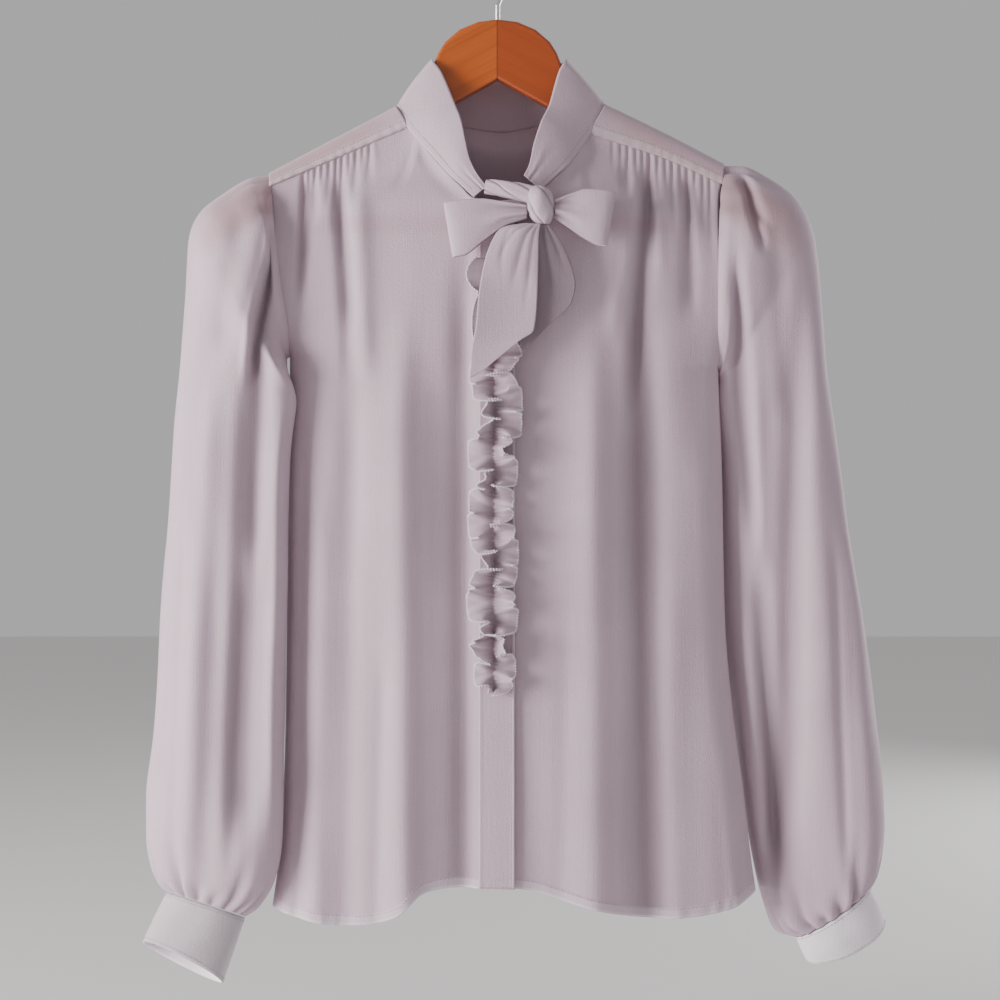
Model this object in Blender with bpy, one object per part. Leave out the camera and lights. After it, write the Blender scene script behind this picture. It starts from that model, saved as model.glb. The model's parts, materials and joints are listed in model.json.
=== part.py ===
import math

import bmesh
import bpy
import numpy as np

# A tie neck blouse hanging on a wooden hanger. Sizes in the tables are millimetres.
# X runs to the viewer's right, the front faces -Y, Z is up.
# The origin is the inside top of the hook, where a rail holds it.

MM = 0.001
WALL = 1.1
SEAM = 0.3
SEAM_SHIFT = WALL + SEAM
ARM_SHIFT = {-1: 1.5, 1: 1.9}
EDGE_GAP = 0.7
DIFF = 1e-4

# Sides of the body, front and back, by height.
# z, x at the wearer's right, x at the wearer's left, depth in front, depth behind
BODY = (
    (-125.3, -169.6, 169.6, 13, 15),
    (-175.0, -166.7, 165.2, 20, 24),
    (-197.3, -164.5, 162.4, 27, 27),
    (-240.5, -160.2, 160.9, 30, 29),
    (-306.7, -151.6, 160.9, 31, 30),
    (-388.8, -152.3, 163.7, 32, 31),
    (-500.4, -153.7, 166.0, 33, 33),
    (-562.3, -154.4, 171.0, 34, 34),
    (-619.2, -155.9, 178.5, 35, 36),
    (-666.7, -158.8, 184.0, 37, 38),
    (-722.9, -166.0, 191.9, 39, 40),
)
BODY_POWER = 2.6
ARM_POWER = 2.2

# The armhole of each side: its top on the ridge and its lowest point under the arm.
# side, top x, top z, low x, low z, half depth
ARMHOLES = {
    -1: (-166.7, -175.0, -151.6, -306.7, 20.0),
    1: (167.4, -168.5, 160.9, -316.1, 21.0),
}

# Top edge of each front: the yoke seam, then the neckline.
# u, x, z, y
TOP_RIGHT = (
    (0.00, -166.0, -184.2, -11.6),
    (0.25, -130.7, -169.0, -10.6),
    (0.36, -106.0, -158.4, -10.4),
    (0.46, -81.7, -148.0, -10.8),
    (0.51, -70.2, -143.1, -10.8),
    (0.53, -65.2, -141.0, -11.2),
    (0.64, -48.6, -162.0, -19.0),
    (0.74, -33.5, -179.3, -25.0),
    (0.80, -26.3, -186.5, -27.0),
    (0.87, -16.9, -195.8, -29.0),
    (1.00, 12.6, -199.4, -29.0),
)
TOP_LEFT = (
    (0.00, -12.6, -199.4, -28.5),
    (0.21, 29.9, -193.0, -28.5),
    (0.27, 35.6, -186.5, -27.0),
    (0.36, 50.0, -172.8, -25.0),
    (0.42, 58.7, -160.6, -19.0),
    (0.48, 67.3, -146.4, -11.2),
    (0.60, 90.0, -153.1, -10.8),
    (0.78, 124.7, -164.7, -10.7),
    (0.90, 148.0, -175.3, -11.3),
    (1.00, 163.1, -182.4, -12.0),
)
# Top edge of the back. u, x, z, y
TOP_BACK = (
    (0.00, -166.0, -186.6, 12.0),
    (0.15, -115.0, -161.2, 10.6),
    (0.29, -68.8, -137.8, 10.5),
    (0.33, -55.8, -135.4, 17.0),
    (0.42, -28.4, -133.9, 25.0),
    (0.51, 3.2, -139.0, 28.0),
    (0.60, 34.2, -133.9, 25.0),
    (0.69, 59.4, -135.4, 17.0),
    (0.72, 71.6, -136.4, 10.6),
    (0.86, 119.0, -160.4, 10.9),
    (1.00, 163.8, -184.8, 12.0),
)
# Lower edge of the fronts. x, z
HEM = (
    (-169.6, -707.0),
    (-142.2, -715.0),
    (-109.1, -719.3),
    (-91.1, -718.2),
    (-72.4, -712.1),
    (-52.2, -694.8),
    (-31.3, -691.6),
    (12.6, -691.9),
    (27.7, -693.9),
    (42.8, -698.8),
    (70.2, -707.0),
    (99.0, -712.8),
    (118.4, -714.6),
    (139.3, -713.2),
    (166.7, -708.5),
    (191.9, -696.2),
)
# Lower edge of the back. x, z
HEM_BACK = (
    (-169.6, -707.0),
    (-127.8, -711.4),
    (-84.6, -708.5),
    (-52.2, -699.8),
    (9.0, -696.2),
    (66.6, -701.3),
    (117.0, -709.9),
    (166.7, -707.8),
    (191.9, -696.2),
)
LAP_RIGHT_X = 12.6
LAP_LEFT_X = -12.6
LAP_START_X = -22.7
LAP_SHIFT = 2.6
PLACKET_X = (-13.3, LAP_RIGHT_X - 0.4)
PLACKET_Z = (-201.6, -691.2)
TOP_FALL = 48.0
SIDE_CALM = 20.0
NECK_FALL = 20.0

# Long soft folds of the fronts; positive depth is a hollow.
# x at top, z at top, x at bottom, z at bottom, half width, depth
FRONT_FOLDS = (
    (-117.0, -172.8, -106.2, -290.9, 5.5, 2.6),
    (-133.6, -177.1, -144.4, -269.3, 5.0, 2.4),
    (-81.0, -290.9, -70.2, -726.5, 17.0, -4.0),
    (-41.4, -290.9, -32.8, -726.5, 15.0, 3.0),
    (-120.6, -427.7, -126.4, -726.5, 20.0, -1.8),
    (110.5, -162.7, 98.3, -355.7, 6.0, 3.2),
    (94.7, -159.8, 84.6, -269.3, 4.0, 1.6),
    (137.2, -172.1, 135.7, -283.7, 5.0, 1.6),
    (66.6, -290.9, 63.0, -726.5, 18.0, -3.2),
    (99.7, -312.5, 102.6, -726.5, 15.0, 3.6),
    (149.4, -341.3, 163.1, -726.5, 14.0, -2.0),
)
BACK_FOLDS = (
    (-120.6, -218.9, -126.4, -726.5, 18.0, -2.6),
    (-73.8, -240.5, -76.0, -726.5, 16.0, 2.8),
    (-19.8, -226.1, -23.4, -726.5, 20.0, -2.4),
    (45.0, -240.5, 48.6, -726.5, 17.0, 2.8),
    (102.6, -218.9, 113.4, -726.5, 18.0, -3.0),
    (145.8, -240.5, 154.4, -726.5, 13.0, 2.0),
)
# Gathers under the yoke seams: first x, last x, number, height, length down
GATHERS_RIGHT = (-145.1, -90.4, 10, 0.75, 26.0)
GATHERS_LEFT = (81.0, 158.8, 12, 0.75, 28.0)

# Shoulder strips: ridge, front seam and back seam, from the neck to the armhole.
# t, ridge x, ridge z, front x, front z, back x, back z, half depth
YOKE_RIGHT = (
    (0.0, -74.1, -125.3, -65.2, -139.7, -68.8, -135.7, 10.6),
    (0.5, -119.9, -149.4, -114.1, -160.6, -117.7, -160.2, 10.2),
    (1.0, -166.7, -174.2, -166.0, -182.9, -166.0, -184.7, 11.6),
)
YOKE_LEFT = (
    (0.0, 78.8, -123.8, 67.3, -145.1, 71.6, -134.3, 10.8),
    (0.5, 124.2, -145.9, 118.4, -160.9, 118.4, -157.7, 10.6),
    (1.0, 165.6, -167.5, 163.8, -181.4, 163.8, -182.9, 12.0),
)

# Rings of each sleeve from the armhole to the cuff seam: outer point, inner point,
# then how far forward each of the two sits, the half depths in front and behind,
# and the slope of the ring towards the viewer in degrees.
# outer x, outer z, inner x, inner z, y outer, y inner, front, back, slope
SLEEVE_RIGHT = (
    (-169.2, -175.0, -154.1, -306.7, 0, 0, 20, 20, 0),
    (-179.6, -177.1, -155.2, -310.3, 0, -3, 25, 24, 0),
    (-199.1, -188.6, -155.9, -315.4, 0, -9, 29, 26, 0),
    (-217.1, -202.3, -154.8, -321.8, 0, -15, 31, 26, 0),
    (-225.7, -223.2, -151.6, -331.2, 0, -21, 30, 24, 0),
    (-228.6, -269.3, -149.8, -342.7, 0, -18.5, 27, 22, 0),
    (-231.5, -311.8, -150.5, -359.3, 0, -18.5, 25, 21, 0),
    (-235.8, -355.7, -151.2, -385.9, 0, -18.5, 24, 21, 0),
    (-239.5, -401.0, -151.9, -416.9, 0, -18.5, 24, 21, 0),
    (-243.0, -456.5, -152.6, -463.7, 0, -18.5, 24, 22, 0),
    (-247.0, -519.8, -153.0, -522.7, 0, -19.5, 25, 23, 0),
    (-251.6, -586.1, -154.1, -586.1, 0, -20, 27, 24, 0),
    (-256.1, -629.3, -155.2, -627.8, 0, -21, 28, 25, 2),
    (-256.2, -661.7, -156.6, -663.8, 0, -21.5, 28, 25, 5),
    (-253.1, -683.3, -161.6, -688.3, 0, -20, 26, 23, 8),
    (-248.8, -693.4, -171.7, -706.3, 0, -15, 22, 19, 11),
    (-241.6, -700.3, -184.5, -716.8, 0, -6, 17.6, 14.6, 12),
)
SLEEVE_LEFT = (
    (167.0, -168.8, 163.1, -316.1, 0, 0, 21, 21, 0),
    (178.9, -168.8, 164.2, -320.4, 0, 3, 26, 25, 0),
    (199.1, -178.6, 164.9, -325.4, 0, 10, 30, 27, 0),
    (220.0, -195.1, 163.8, -331.9, 0, 16, 31, 27, 0),
    (231.5, -219.6, 160.9, -339.8, 0, 20, 30, 25, 0),
    (237.2, -272.9, 159.8, -351.4, 0, 20.5, 27, 23, 0),
    (240.8, -319.7, 160.6, -368.6, 0, 20.5, 26, 22, 0),
    (246.6, -359.3, 161.3, -391.7, 0, 20.5, 26, 22, 0),
    (251.6, -398.9, 162.0, -419.0, 0, 20.5, 26, 22, 0),
    (258.1, -447.8, 163.4, -460.1, 0, 21.5, 27, 22, 0),
    (266.8, -503.3, 166.0, -510.5, 0, 21.5, 28, 23, 0),
    (275.4, -563.0, 173.2, -570.2, 0, 22, 29, 24, 0),
    (281.2, -612.0, 181.1, -623.5, 0, 22, 29, 25, 0),
    (283.1, -649.4, 188.3, -669.6, 0, 22, 29, 25, -2),
    (281.5, -673.9, 195.5, -704.9, 0, 17, 27, 24, -5),
    (278.3, -686.2, 204.8, -727.9, 0, 9, 23, 20, -8),
    (271.1, -695.8, 218.5, -732.2, 0, 4, 17.6, 14.6, -10),
)
# Folds along the sleeves; side of the ring is 1 in front and -1 behind.
# ring side, x at top, z at top, x at bottom, z at bottom, half width, depth
SLEEVE_FOLDS_RIGHT = (
    (1, -168.8, -208.1, -176.8, -485.3, 6.5, 8.0),
    (1, -176.8, -456.5, -183.2, -665.3, 9.0, 7.0),
    (1, -217.8, -269.3, -228.6, -694.1, 16.0, -2.5),
    (1, -192.6, -197.3, -198.4, -312.5, 8.0, 2.5),
    (1, -204.1, -456.5, -211.3, -694.1, 10.0, 2.0),
    (-1, -196.2, -240.5, -198.4, -672.5, 9.0, -6.0),
    (-1, -224.3, -355.7, -228.6, -686.9, 9.0, 2.0),
)
SLEEVE_FOLDS_LEFT = (
    (1, 171.0, -222.5, 186.8, -456.5, 5.0, 7.0),
    (1, 186.8, -442.1, 205.6, -701.3, 7.0, 9.0),
    (1, 178.2, -175.7, 192.6, -215.3, 4.0, 4.0),
    (1, 217.8, -240.5, 243.0, -694.1, 15.0, -2.5),
    (1, 199.8, -208.1, 210.6, -355.7, 8.0, 2.5),
    (1, 259.6, -456.5, 266.8, -672.5, 8.0, 1.8),
    (-1, 203.4, -240.5, 221.4, -686.9, 9.0, -6.0),
    (-1, 246.6, -355.7, 261.0, -672.5, 9.0, 2.0),
)
# The front of each sleeve head falls forward over the armhole.
# side, z at top, z of the fullest part, z at bottom, shift to the body, shift forward
HEAD_FLAP = {
    -1: (-175.7, -215.3, -306.7, 8.0, 9.5),
    1: (-170.6, -215.3, -316.1, -1.0, 5.0),
}
# Stretches of the sleeve, from 0 at the armhole to 1 at the cuff, where each effect fades.
HEAD_BLEND = 0.07
FLAP_END = (0.10, 0.34)
FOLD_FADE = (0.10, 0.93)
PUFF_START = (0.86, 0.95)
CUFF_GATHERS = 18
CUFF_GATHER_HEIGHT = 1.7
CUFF_WALL = 1.6
RUFFLE_WALL = 1.0
HEAD_GATHERS = 16
HEAD_GATHER_HEIGHT = 0.9

# Cuffs, top ring then bottom ring. outer x, outer z, inner x, inner z, y outer, y inner,
# half depth in front, behind, slope
CUFF_RIGHT = (
    (-241.6, -701.3, -184.9, -717.8, 0, -6, 17, 14, 12),
    (-250.2, -719.3, -192.6, -742.3, -2, -8, 17.5, 14.5, 19),
    (-258.5, -736.6, -200.5, -763.9, -5, -12, 18, 15, 26),
)
CUFF_LEFT = (
    (271.6, -696.7, 219.0, -733.0, 0, 4, 17, 14, -10),
    (279.0, -711.4, 222.8, -742.3, 1, 5, 17.5, 14.5, -20),
    (284.0, -724.3, 226.4, -749.5, 4, 8, 18, 15, -30),
)

# Collar band: lower edge on the neckline, upper edge free.
# t, lower x, lower z, lower y, upper x, upper z, upper y, bulge
COLLAR = (
    (0.00, -14.8, -193.7, -31.5, -7.6, -187.9, -33.0, 0.0),
    (0.06, -24.8, -184.3, -29.5, -13.7, -180.0, -32.0, 0.6),
    (0.12, -32.0, -177.1, -26.5, -20.2, -167.0, -30.0, 1.2),
    (0.19, -47.2, -159.8, -20.5, -26.3, -139.0, -26.5, 1.8),
    (0.26, -63.7, -140.4, -12.5, -32.0, -123.1, -19.5, 2.4),
    (0.31, -72.4, -126.0, -4.0, -42.1, -99.4, -10.5, 1.8),
    (0.325, -73.1, -124.9, -1.5, -46.8, -93.2, -7.8, 1.4),
    (0.34, -73.1, -123.8, 2.0, -47.9, -90.4, 0.0, 1.0),
    (0.38, -68.0, -133.6, 12.2, -43.6, -91.4, 11.0, 0.6),
    (0.44, -41.4, -132.1, 22.0, -25.6, -95.0, 20.5, 0.4),
    (0.52, 3.2, -136.8, 27.5, 1.8, -97.2, 24.5, 0.4),
    (0.60, 46.4, -131.0, 22.0, 29.2, -95.0, 20.5, 0.4),
    (0.65, 71.6, -132.5, 12.2, 45.7, -92.2, 11.0, 0.6),
    (0.68, 78.1, -122.8, 2.0, 50.0, -90.7, 0.0, 1.0),
    (0.70, 77.8, -124.6, -1.5, 48.6, -93.6, -7.8, 1.4),
    (0.72, 76.0, -127.4, -5.0, 45.0, -100.1, -10.5, 1.8),
    (0.77, 65.9, -145.4, -13.0, 37.1, -127.4, -19.5, 2.4),
    (0.83, 57.2, -158.4, -20.5, 31.8, -139.0, -26.0, 1.8),
    (0.90, 47.9, -170.6, -26.5, 26.3, -156.2, -31.0, 1.2),
    (0.96, 34.9, -182.9, -30.0, 22.7, -172.1, -33.0, 0.6),
    (1.00, 29.2, -188.6, -31.5, 19.1, -180.0, -34.0, 0.0),
)

# Bow. The twist runs from the band to the knot.
# x, y, z
TWIST = ((-8.3, -37.3, -188.6), (1.1, -40.0, -190.1), (10.4, -42.5, -191.9), (20.9, -43.6, -193.7))
TWIST_RADII = (3.6, 4.6)
TWIST_TURNS = 1.3
TWIST_RIDGE = 0.10
# The knot. z, centre x, half width, half depth
KNOT = (
    (-189.4, 29.2, 3.0, 3.0),
    (-192.2, 29.5, 6.8, 6.0),
    (-198.0, 30.2, 8.6, 7.6),
    (-205.9, 31.3, 8.6, 7.6),
    (-212.4, 32.0, 6.6, 6.0),
    (-216.0, 32.8, 3.4, 3.2),
)
KNOT_Y = -43.6
KNOT_RIDGE = 0.06
# Loops, from the knot outwards. s, x, z of upper edge, z of lower edge
LOOP_RIGHT = (
    (0.00, 20.7, -203.0, -212.4),
    (0.18, 6.8, -200.9, -216.7),
    (0.45, -11.2, -198.4, -228.2),
    (0.75, -27.0, -199.4, -238.3),
    (1.00, -38.2, -201.2, -239.8),
)
LOOP_LEFT = (
    (0.00, 41.2, -199.4, -212.4),
    (0.18, 52.2, -194.8, -219.6),
    (0.45, 63.7, -191.5, -226.4),
    (0.75, 76.0, -192.2, -231.1),
    (1.00, 84.2, -193.3, -231.8),
)
LOOP_Y = -43.6
LOOP_OPEN = 5.2
LOOP_PINCH = 1.3
LOOP_CREASE = 0.7
# Tie ends. v, x of left edge, x of right edge, z left, z right, y left, y right, hollow
TIE_FRONT = (
    (0.00, 18.4, 30.6, -216.4, -216.4, -47.9, -47.7, -0.4),
    (0.15, 3.2, 29.2, -219.6, -226.8, -49.0, -49.0, -2.0),
    (0.35, -8.3, 28.9, -240.5, -247.7, -50.5, -49.5, -1.5),
    (0.58, -13.3, 28.3, -266.4, -269.3, -52.0, -50.0, 1.2),
    (0.78, -15.5, 25.9, -290.9, -292.3, -53.5, -51.5, 1.2),
    (0.88, -18.7, 15.5, -309.6, -300.2, -54.0, -53.0, 0.4),
    (1.00, -19.1, -11.9, -326.9, -322.6, -54.0, -53.5, 0.0),
)
TIE_BACK = (
    (0.00, 29.9, 36.4, -216.6, -216.6, -45.6, -45.4, -0.2),
    (0.25, 22.0, 46.4, -233.3, -231.1, -46.6, -44.0, -0.6),
    (0.50, 16.2, 55.8, -258.5, -259.9, -46.5, -43.5, 1.2),
    (0.64, 16.2, 52.9, -273.6, -272.2, -47.0, -44.0, 1.4),
    (0.82, 16.2, 34.9, -292.3, -290.2, -47.5, -45.0, 0.8),
    (1.00, 16.9, 21.2, -306.7, -305.3, -48.0, -47.0, 0.0),
)

# Ruffle: middle line and the outward lobes of each wing.
# lobe side, z from, z to, reach
LOBES = (
    (1, -241.9, -269.3, 15.0),
    (1, -273.6, -295.2, 17.0),
    (1, -298.1, -319.7, 20.0),
    (1, -323.3, -375.1, 20.5),
    (1, -377.3, -403.2, 17.0),
    (1, -406.1, -427.7, 14.5),
    (1, -431.3, -475.9, 17.5),
    (1, -478.1, -508.3, 17.5),
    (1, -521.3, -550.1, 15.5),
    (-1, -239.0, -263.5, 20.0),
    (-1, -267.8, -305.3, 16.0),
    (-1, -309.6, -340.6, 17.5),
    (-1, -362.9, -394.6, 18.5),
    (-1, -399.6, -452.2, 18.5),
    (-1, -464.4, -503.3, 19.5),
    (-1, -508.3, -524.9, 18.5),
    (-1, -527.0, -549.4, 14.0),
)
RUFFLE_TOP = -239.8
RUFFLE_END = -550.8
RUFFLE_MIDDLE_X = -2.5
RUFFLE_FOOT = 1.6
RUFFLE_LOW_Z = -305.3
RUFFLE_SHUT_WIDTH = 12.5
RUFFLE_SHUT_ANGLE = 78.0
RUFFLE_OPEN_ANGLE = 12.0
RUFFLE_TUCKED_ANGLE = 20.0
RUFFLE_CURL = 1.3

# Hanger outline, half, then mirrored: distance from the middle, z
BOARD = (
    (0.0, -61.9),
    (14.4, -63.7),
    (28.0, -69.5),
    (38.4, -78.5),
    (43.4, -86.4),
    (46.4, -94.3),
    (49.6, -104.4),
    (54.6, -115.2),
    (61.6, -123.5),
    (70.0, -129.2),
    (82.0, -134.6),
    (140.0, -166.0),
    (203.0, -200.4),
    (210.0, -205.2),
    (214.5, -211.0),
    (216.0, -216.7),
    (214.0, -222.5),
    (209.0, -225.0),
    (203.0, -221.8),
    (140.0, -184.0),
    (70.0, -144.9),
    (32.0, -123.7),
    (0.0, -105.8),
)
BOARD_HALF = 6.0
BOARD_ROUND = 2.0
BAR_RADIUS = 5.0
BAR_Z = -214.6
BAR_GAP = 0.6
HOOK_WIRE = 1.8
HOOK_RADIUS = 21.8
HOOK_STEM_END = -61.5
HOOK_START_ANGLE = 205.0
HOOK_TURN = 253.0
HOOK_BENDS = ((7.2, -41.6), (2.0, -45.6), (0.0, -51.0))
CLOTH_FACE_ROUGHNESS = 0.85
HANGER_ROUGHNESS = 0.35

COLOURS = {
    "crepe": (0.520, 0.440, 0.490, 1.0),
    "cuff_crepe": (0.800, 0.740, 0.800, 1.0),
    "wood": (0.420, 0.110, 0.020, 1.0),
    "steel": (0.620, 0.620, 0.640, 1.0),
}


def smooth(a, b, x):
    """Ease from 0 at a to 1 at b."""
    t = min(1.0, max(0.0, (x - a) / (b - a)))
    return t * t * (3.0 - 2.0 * t)


def curve(xs, ys):
    """A smooth line through rising xs that doesn't overshoot."""
    n = len(xs)
    steps = [(ys[i + 1] - ys[i]) / (xs[i + 1] - xs[i]) for i in range(n - 1)]
    slopes = [steps[0]]
    for i in range(1, n - 1):
        same = steps[i - 1] * steps[i] > 0
        slopes.append(2.0 * steps[i - 1] * steps[i] / (steps[i - 1] + steps[i]) if same else 0.0)
    slopes.append(steps[-1])

    def at(x):
        x = min(max(x, xs[0]), xs[-1])
        i = min(n - 2, max(0, int(np.searchsorted(xs, x)) - 1))
        h = xs[i + 1] - xs[i]
        t = (x - xs[i]) / h
        a = (1 + 2 * t) * (1 - t) ** 2 * ys[i] + t * (1 - t) ** 2 * h * slopes[i]
        b = t * t * (3 - 2 * t) * ys[i + 1] + t * t * (t - 1) * h * slopes[i + 1]
        return a + b

    return at


def columns(rows, key=0):
    """Smooth functions of one column for all the others, in order."""
    rows = sorted(rows, key=lambda r: r[key])
    keys = [r[key] for r in rows]
    return [curve(keys, [r[i] for r in rows]) for i in range(len(rows[0])) if i != key]


def stations(rows):
    """Smooth functions of 0 to 1 along a table for every column."""
    keys = [i / (len(rows) - 1) for i in range(len(rows))]
    return [curve(keys, [r[i] for r in rows]) for i in range(len(rows[0]))]


def signed_power(value, power):
    return math.copysign(abs(value) ** power, value)


body_right_x, body_left_x, depth_front, depth_back = columns(BODY)
hem_front = columns(HEM)[0]
hem_back = columns(HEM_BACK)[0]


def arm_depth(side, z):
    """Half depth of the armhole at a height, and none below it."""
    top_x, top_z, low_x, low_z, depth = ARMHOLES[side]
    middle = (top_z + low_z) / 2
    reach = (top_z - low_z) / 2
    s = min(1.0, abs(z - middle) / reach)
    if z < low_z:
        return EDGE_GAP
    return max(EDGE_GAP, depth * (1.0 - s ** ARM_POWER) ** (1.0 / ARM_POWER))


def fold_shift(folds, x, z):
    """How far the folds of a panel push it inwards at a place."""
    total = 0.0
    for x0, z0, x1, z1, width, depth in folds:
        t = (z - z0) / (z1 - z0)
        fade = smooth(-0.02, 0.18, t) * (1.0 - smooth(0.80, 1.06, t) * (z1 > -700.0))
        centre = x0 + (x1 - x0) * t
        total += depth * fade * math.exp(-((x - centre) / width) ** 2)
    return total


def body_y(x, z, face):
    """Depth of the body at a place, before the top edge is blended in."""
    left = body_right_x(z)
    right = body_left_x(z)
    s = min(1.0, max(-1.0, (2.0 * x - left - right) / (right - left)))
    bulge = max(0.0, 1.0 - abs(s) ** BODY_POWER) ** (1.0 / BODY_POWER)
    edge = arm_depth(1 if s > 0 else -1, z)
    deep = (depth_front if face < 0 else depth_back)(z)
    return face * (edge + (deep - edge) * bulge)


def lap_shift(x):
    """The right front lies over the left one near the middle."""
    return -LAP_SHIFT * smooth(LAP_START_X, LAP_LEFT_X, x)


def panel_point(top, hem, side, face, folds, gathers):
    """Surface of a front or back. u runs across, v runs down."""
    top_x, top_z, top_y = columns(top)

    def at(u, v):
        x0 = top_x(u)
        z0 = top_z(u)
        left = body_right_x
        right = body_left_x
        angle = math.pi * (0.5 * u if side < 0 else 0.5 + 0.5 * u)
        if side == 0:
            angle = math.pi * u
        across = 0.5 - 0.5 * signed_power(math.cos(angle), 0.85)

        def place(z):
            low, high = left(z), right(z)
            if side < 0:
                return low + (LAP_RIGHT_X - low) * 2.0 * across
            if side > 0:
                return LAP_LEFT_X + (high - LAP_LEFT_X) * (2.0 * across - 1.0)
            return low + (high - low) * across

        z1 = hem(place(-700.0))
        z = z0 + (z1 - z0) * v
        x = place(z) + (x0 - place(z0)) * (1.0 - smooth(0.0, 0.22, v))
        fall = NECK_FALL if abs(x0) < 60.0 else TOP_FALL
        blend = smooth(0.0, fall, z0 - z)
        y = top_y(u) * (1.0 - blend) + body_y(x, z, face) * blend
        inside = min(x - left(z), right(z) - x)
        y -= face * fold_shift(folds, x, z) * smooth(0.0, 14.0, z0 - z) * smooth(0.0, SIDE_CALM, inside)
        if side < 0:
            y += lap_shift(x)
        for g0, g1, count, height, length in gathers:
            t = (x0 - g0) / (g1 - g0)
            if 0.0 <= t <= 1.0:
                wave = math.sin(2.0 * math.pi * count * t) * smooth(0, 0.06, t) * smooth(0, 0.06, 1 - t)
                y += face * height * wave * (1.0 - smooth(0.25, 1.0, (z0 - z) / length))
        return (x, y, z)

    return at


def yoke_point(rows):
    """Strip over the shoulder. u runs from the front seam over the ridge, v outwards."""
    ridge_x, ridge_z, front_x, front_z, back_x, back_z, half = columns(rows)

    def at(u, v):
        turn = -0.5 * math.pi + math.pi * u
        across = math.sin(turn)
        rise = max(0.0, math.cos(turn)) ** 0.75
        sx = front_x(v) if u < 0.5 else back_x(v)
        sz = front_z(v) if u < 0.5 else back_z(v)
        x = sx + (ridge_x(v) - sx) * rise
        z = sz + (ridge_z(v) - sz) * rise
        return (x, half(v) * across, z)

    return at


def ring_frame(cols, v):
    ox, oz, ix, iz, oy, iy, front, back, slope = [c(v) for c in cols]
    outer = np.array((ox, oy, oz))
    inner = np.array((ix, iy, iz))
    tilt = math.radians(slope)
    forward = np.array((0.0, -math.cos(tilt), math.sin(tilt)))
    return (outer + inner) / 2, (outer - inner) / 2, forward, front, back


def sleeve_point(rows, folds, side):
    """Tube from the armhole to the cuff. u = 0 is the outer edge, 0.25 the front."""
    cols = stations(rows)
    flap_top, flap_full, flap_low, flap_x, flap_y = HEAD_FLAP[side]

    def at(u, v):
        middle, reach, forward, front, back = ring_frame(cols, v)
        turn = 2.0 * math.pi * u
        c = signed_power(math.cos(turn), 2.0 / ARM_POWER)
        s = signed_power(math.sin(turn), 2.0 / ARM_POWER)
        depth = front if s > 0 else back
        p = middle + reach * c + forward * (depth * s)
        ring_side = 1 if s > 0 else -1
        weight = smooth(0.0, 0.55, abs(s)) * smooth(0.0, FOLD_FADE[0], v) * (1.0 - smooth(FOLD_FADE[1], 1.0, v))
        total = 0.0
        for which, x0, z0, x1, z1, width, deep in folds:
            if which == ring_side:
                t = (p[2] - z0) / (z1 - z0)
                fade = smooth(-0.02, 0.2, t) * (1.0 - smooth(0.8, 1.05, t))
                total += deep * fade * math.exp(-((p[0] - x0 - (x1 - x0) * t) / width) ** 2)
        p = p - forward * (ring_side * total * weight)
        if s > 0 and v < FLAP_END[1]:
            z = p[2]
            up = smooth(flap_top, flap_full, z) if z > flap_full else 1.0 - smooth(flap_full, flap_low, z)
            grow = (1.0 - smooth(FLAP_END[0], FLAP_END[1], v)) * up * smooth(0.0, 0.6, s)
            over = smooth(0.02, 0.09, v) * flap_x
            out = smooth(0.0, 0.045, v) * flap_y
            p = p + np.array((over, -out, 0.0)) * grow
        near = 1.0 - smooth(0.0, HEAD_BLEND, v)
        edge = (body_right_x(p[2]) if side < 0 else body_left_x(p[2])) + side * ARM_SHIFT[side]
        p = np.array((p[0] + (edge - p[0]) * near, p[1], p[2]))
        away = p - middle
        away = away / max(1e-6, np.linalg.norm(away))
        puff = smooth(PUFF_START[0], PUFF_START[1], v) * (1.0 - 0.55 * smooth(0.96, 1.0, v))
        p = p + away * (CUFF_GATHER_HEIGHT * puff * math.cos(turn * CUFF_GATHERS))
        head = smooth(0.0, 0.02, v) * (1.0 - smooth(0.03, 0.13, v)) * smooth(0.1, 0.6, c)
        p = p + away * (HEAD_GATHER_HEIGHT * head * math.cos(turn * HEAD_GATHERS))
        return tuple(p)

    return at


def cuff_point(rows):
    cols = stations(rows)

    def at(u, v):
        middle, reach, forward, front, back = ring_frame(cols, v)
        turn = 2.0 * math.pi * u
        s = math.sin(turn)
        return tuple(middle + reach * math.cos(turn) + forward * ((front if s > 0 else back) * s))

    return at


def collar_point():
    low_x, low_z, low_y, high_x, high_z, high_y, bulge = columns(COLLAR)

    def at(u, v):
        low = np.array((low_x(u), low_y(u), low_z(u)))
        high = np.array((high_x(u), high_y(u), high_z(u)))
        p = low + (high - low) * v
        out = np.array((p[0], p[1] * 2.2, 0.0))
        out = out / max(1e-6, np.linalg.norm(out))
        return tuple(p + out * (bulge(u) * math.sin(math.pi * v)))

    return at


def loop_point(rows):
    """Doubled strip. u runs from the knot out along the front and back behind."""
    along_x, high, low = columns(rows)

    def at(u, v):
        turn = 2.0 * math.pi * u
        s = 0.5 - 0.5 * math.cos(turn)
        top, bottom = high(s), low(s)
        spread = LOOP_OPEN * math.sin(turn) * (0.35 + 0.65 * s)
        belly = 1.0 - 0.35 * (2.0 * v - 1.0) ** 2
        y = LOOP_Y - LOOP_PINCH * math.cos(turn / 2) - spread * belly
        crease = LOOP_CREASE * math.sin(math.pi * 3.0 * v) * (1.0 - smooth(0.0, 0.45, s)) * math.cos(turn / 2)
        return (along_x(s), y + crease, bottom + (top - bottom) * v)

    return at


def tie_point(rows):
    cols = columns(rows)

    def at(u, v):
        x0, x1, z0, z1, y0, y1, hollow = [c(v) for c in cols]
        y = y0 + (y1 - y0) * u + hollow * math.sin(math.pi * u)
        return (x0 + (x1 - x0) * u, y, z0 + (z1 - z0) * u)

    return at


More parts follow.
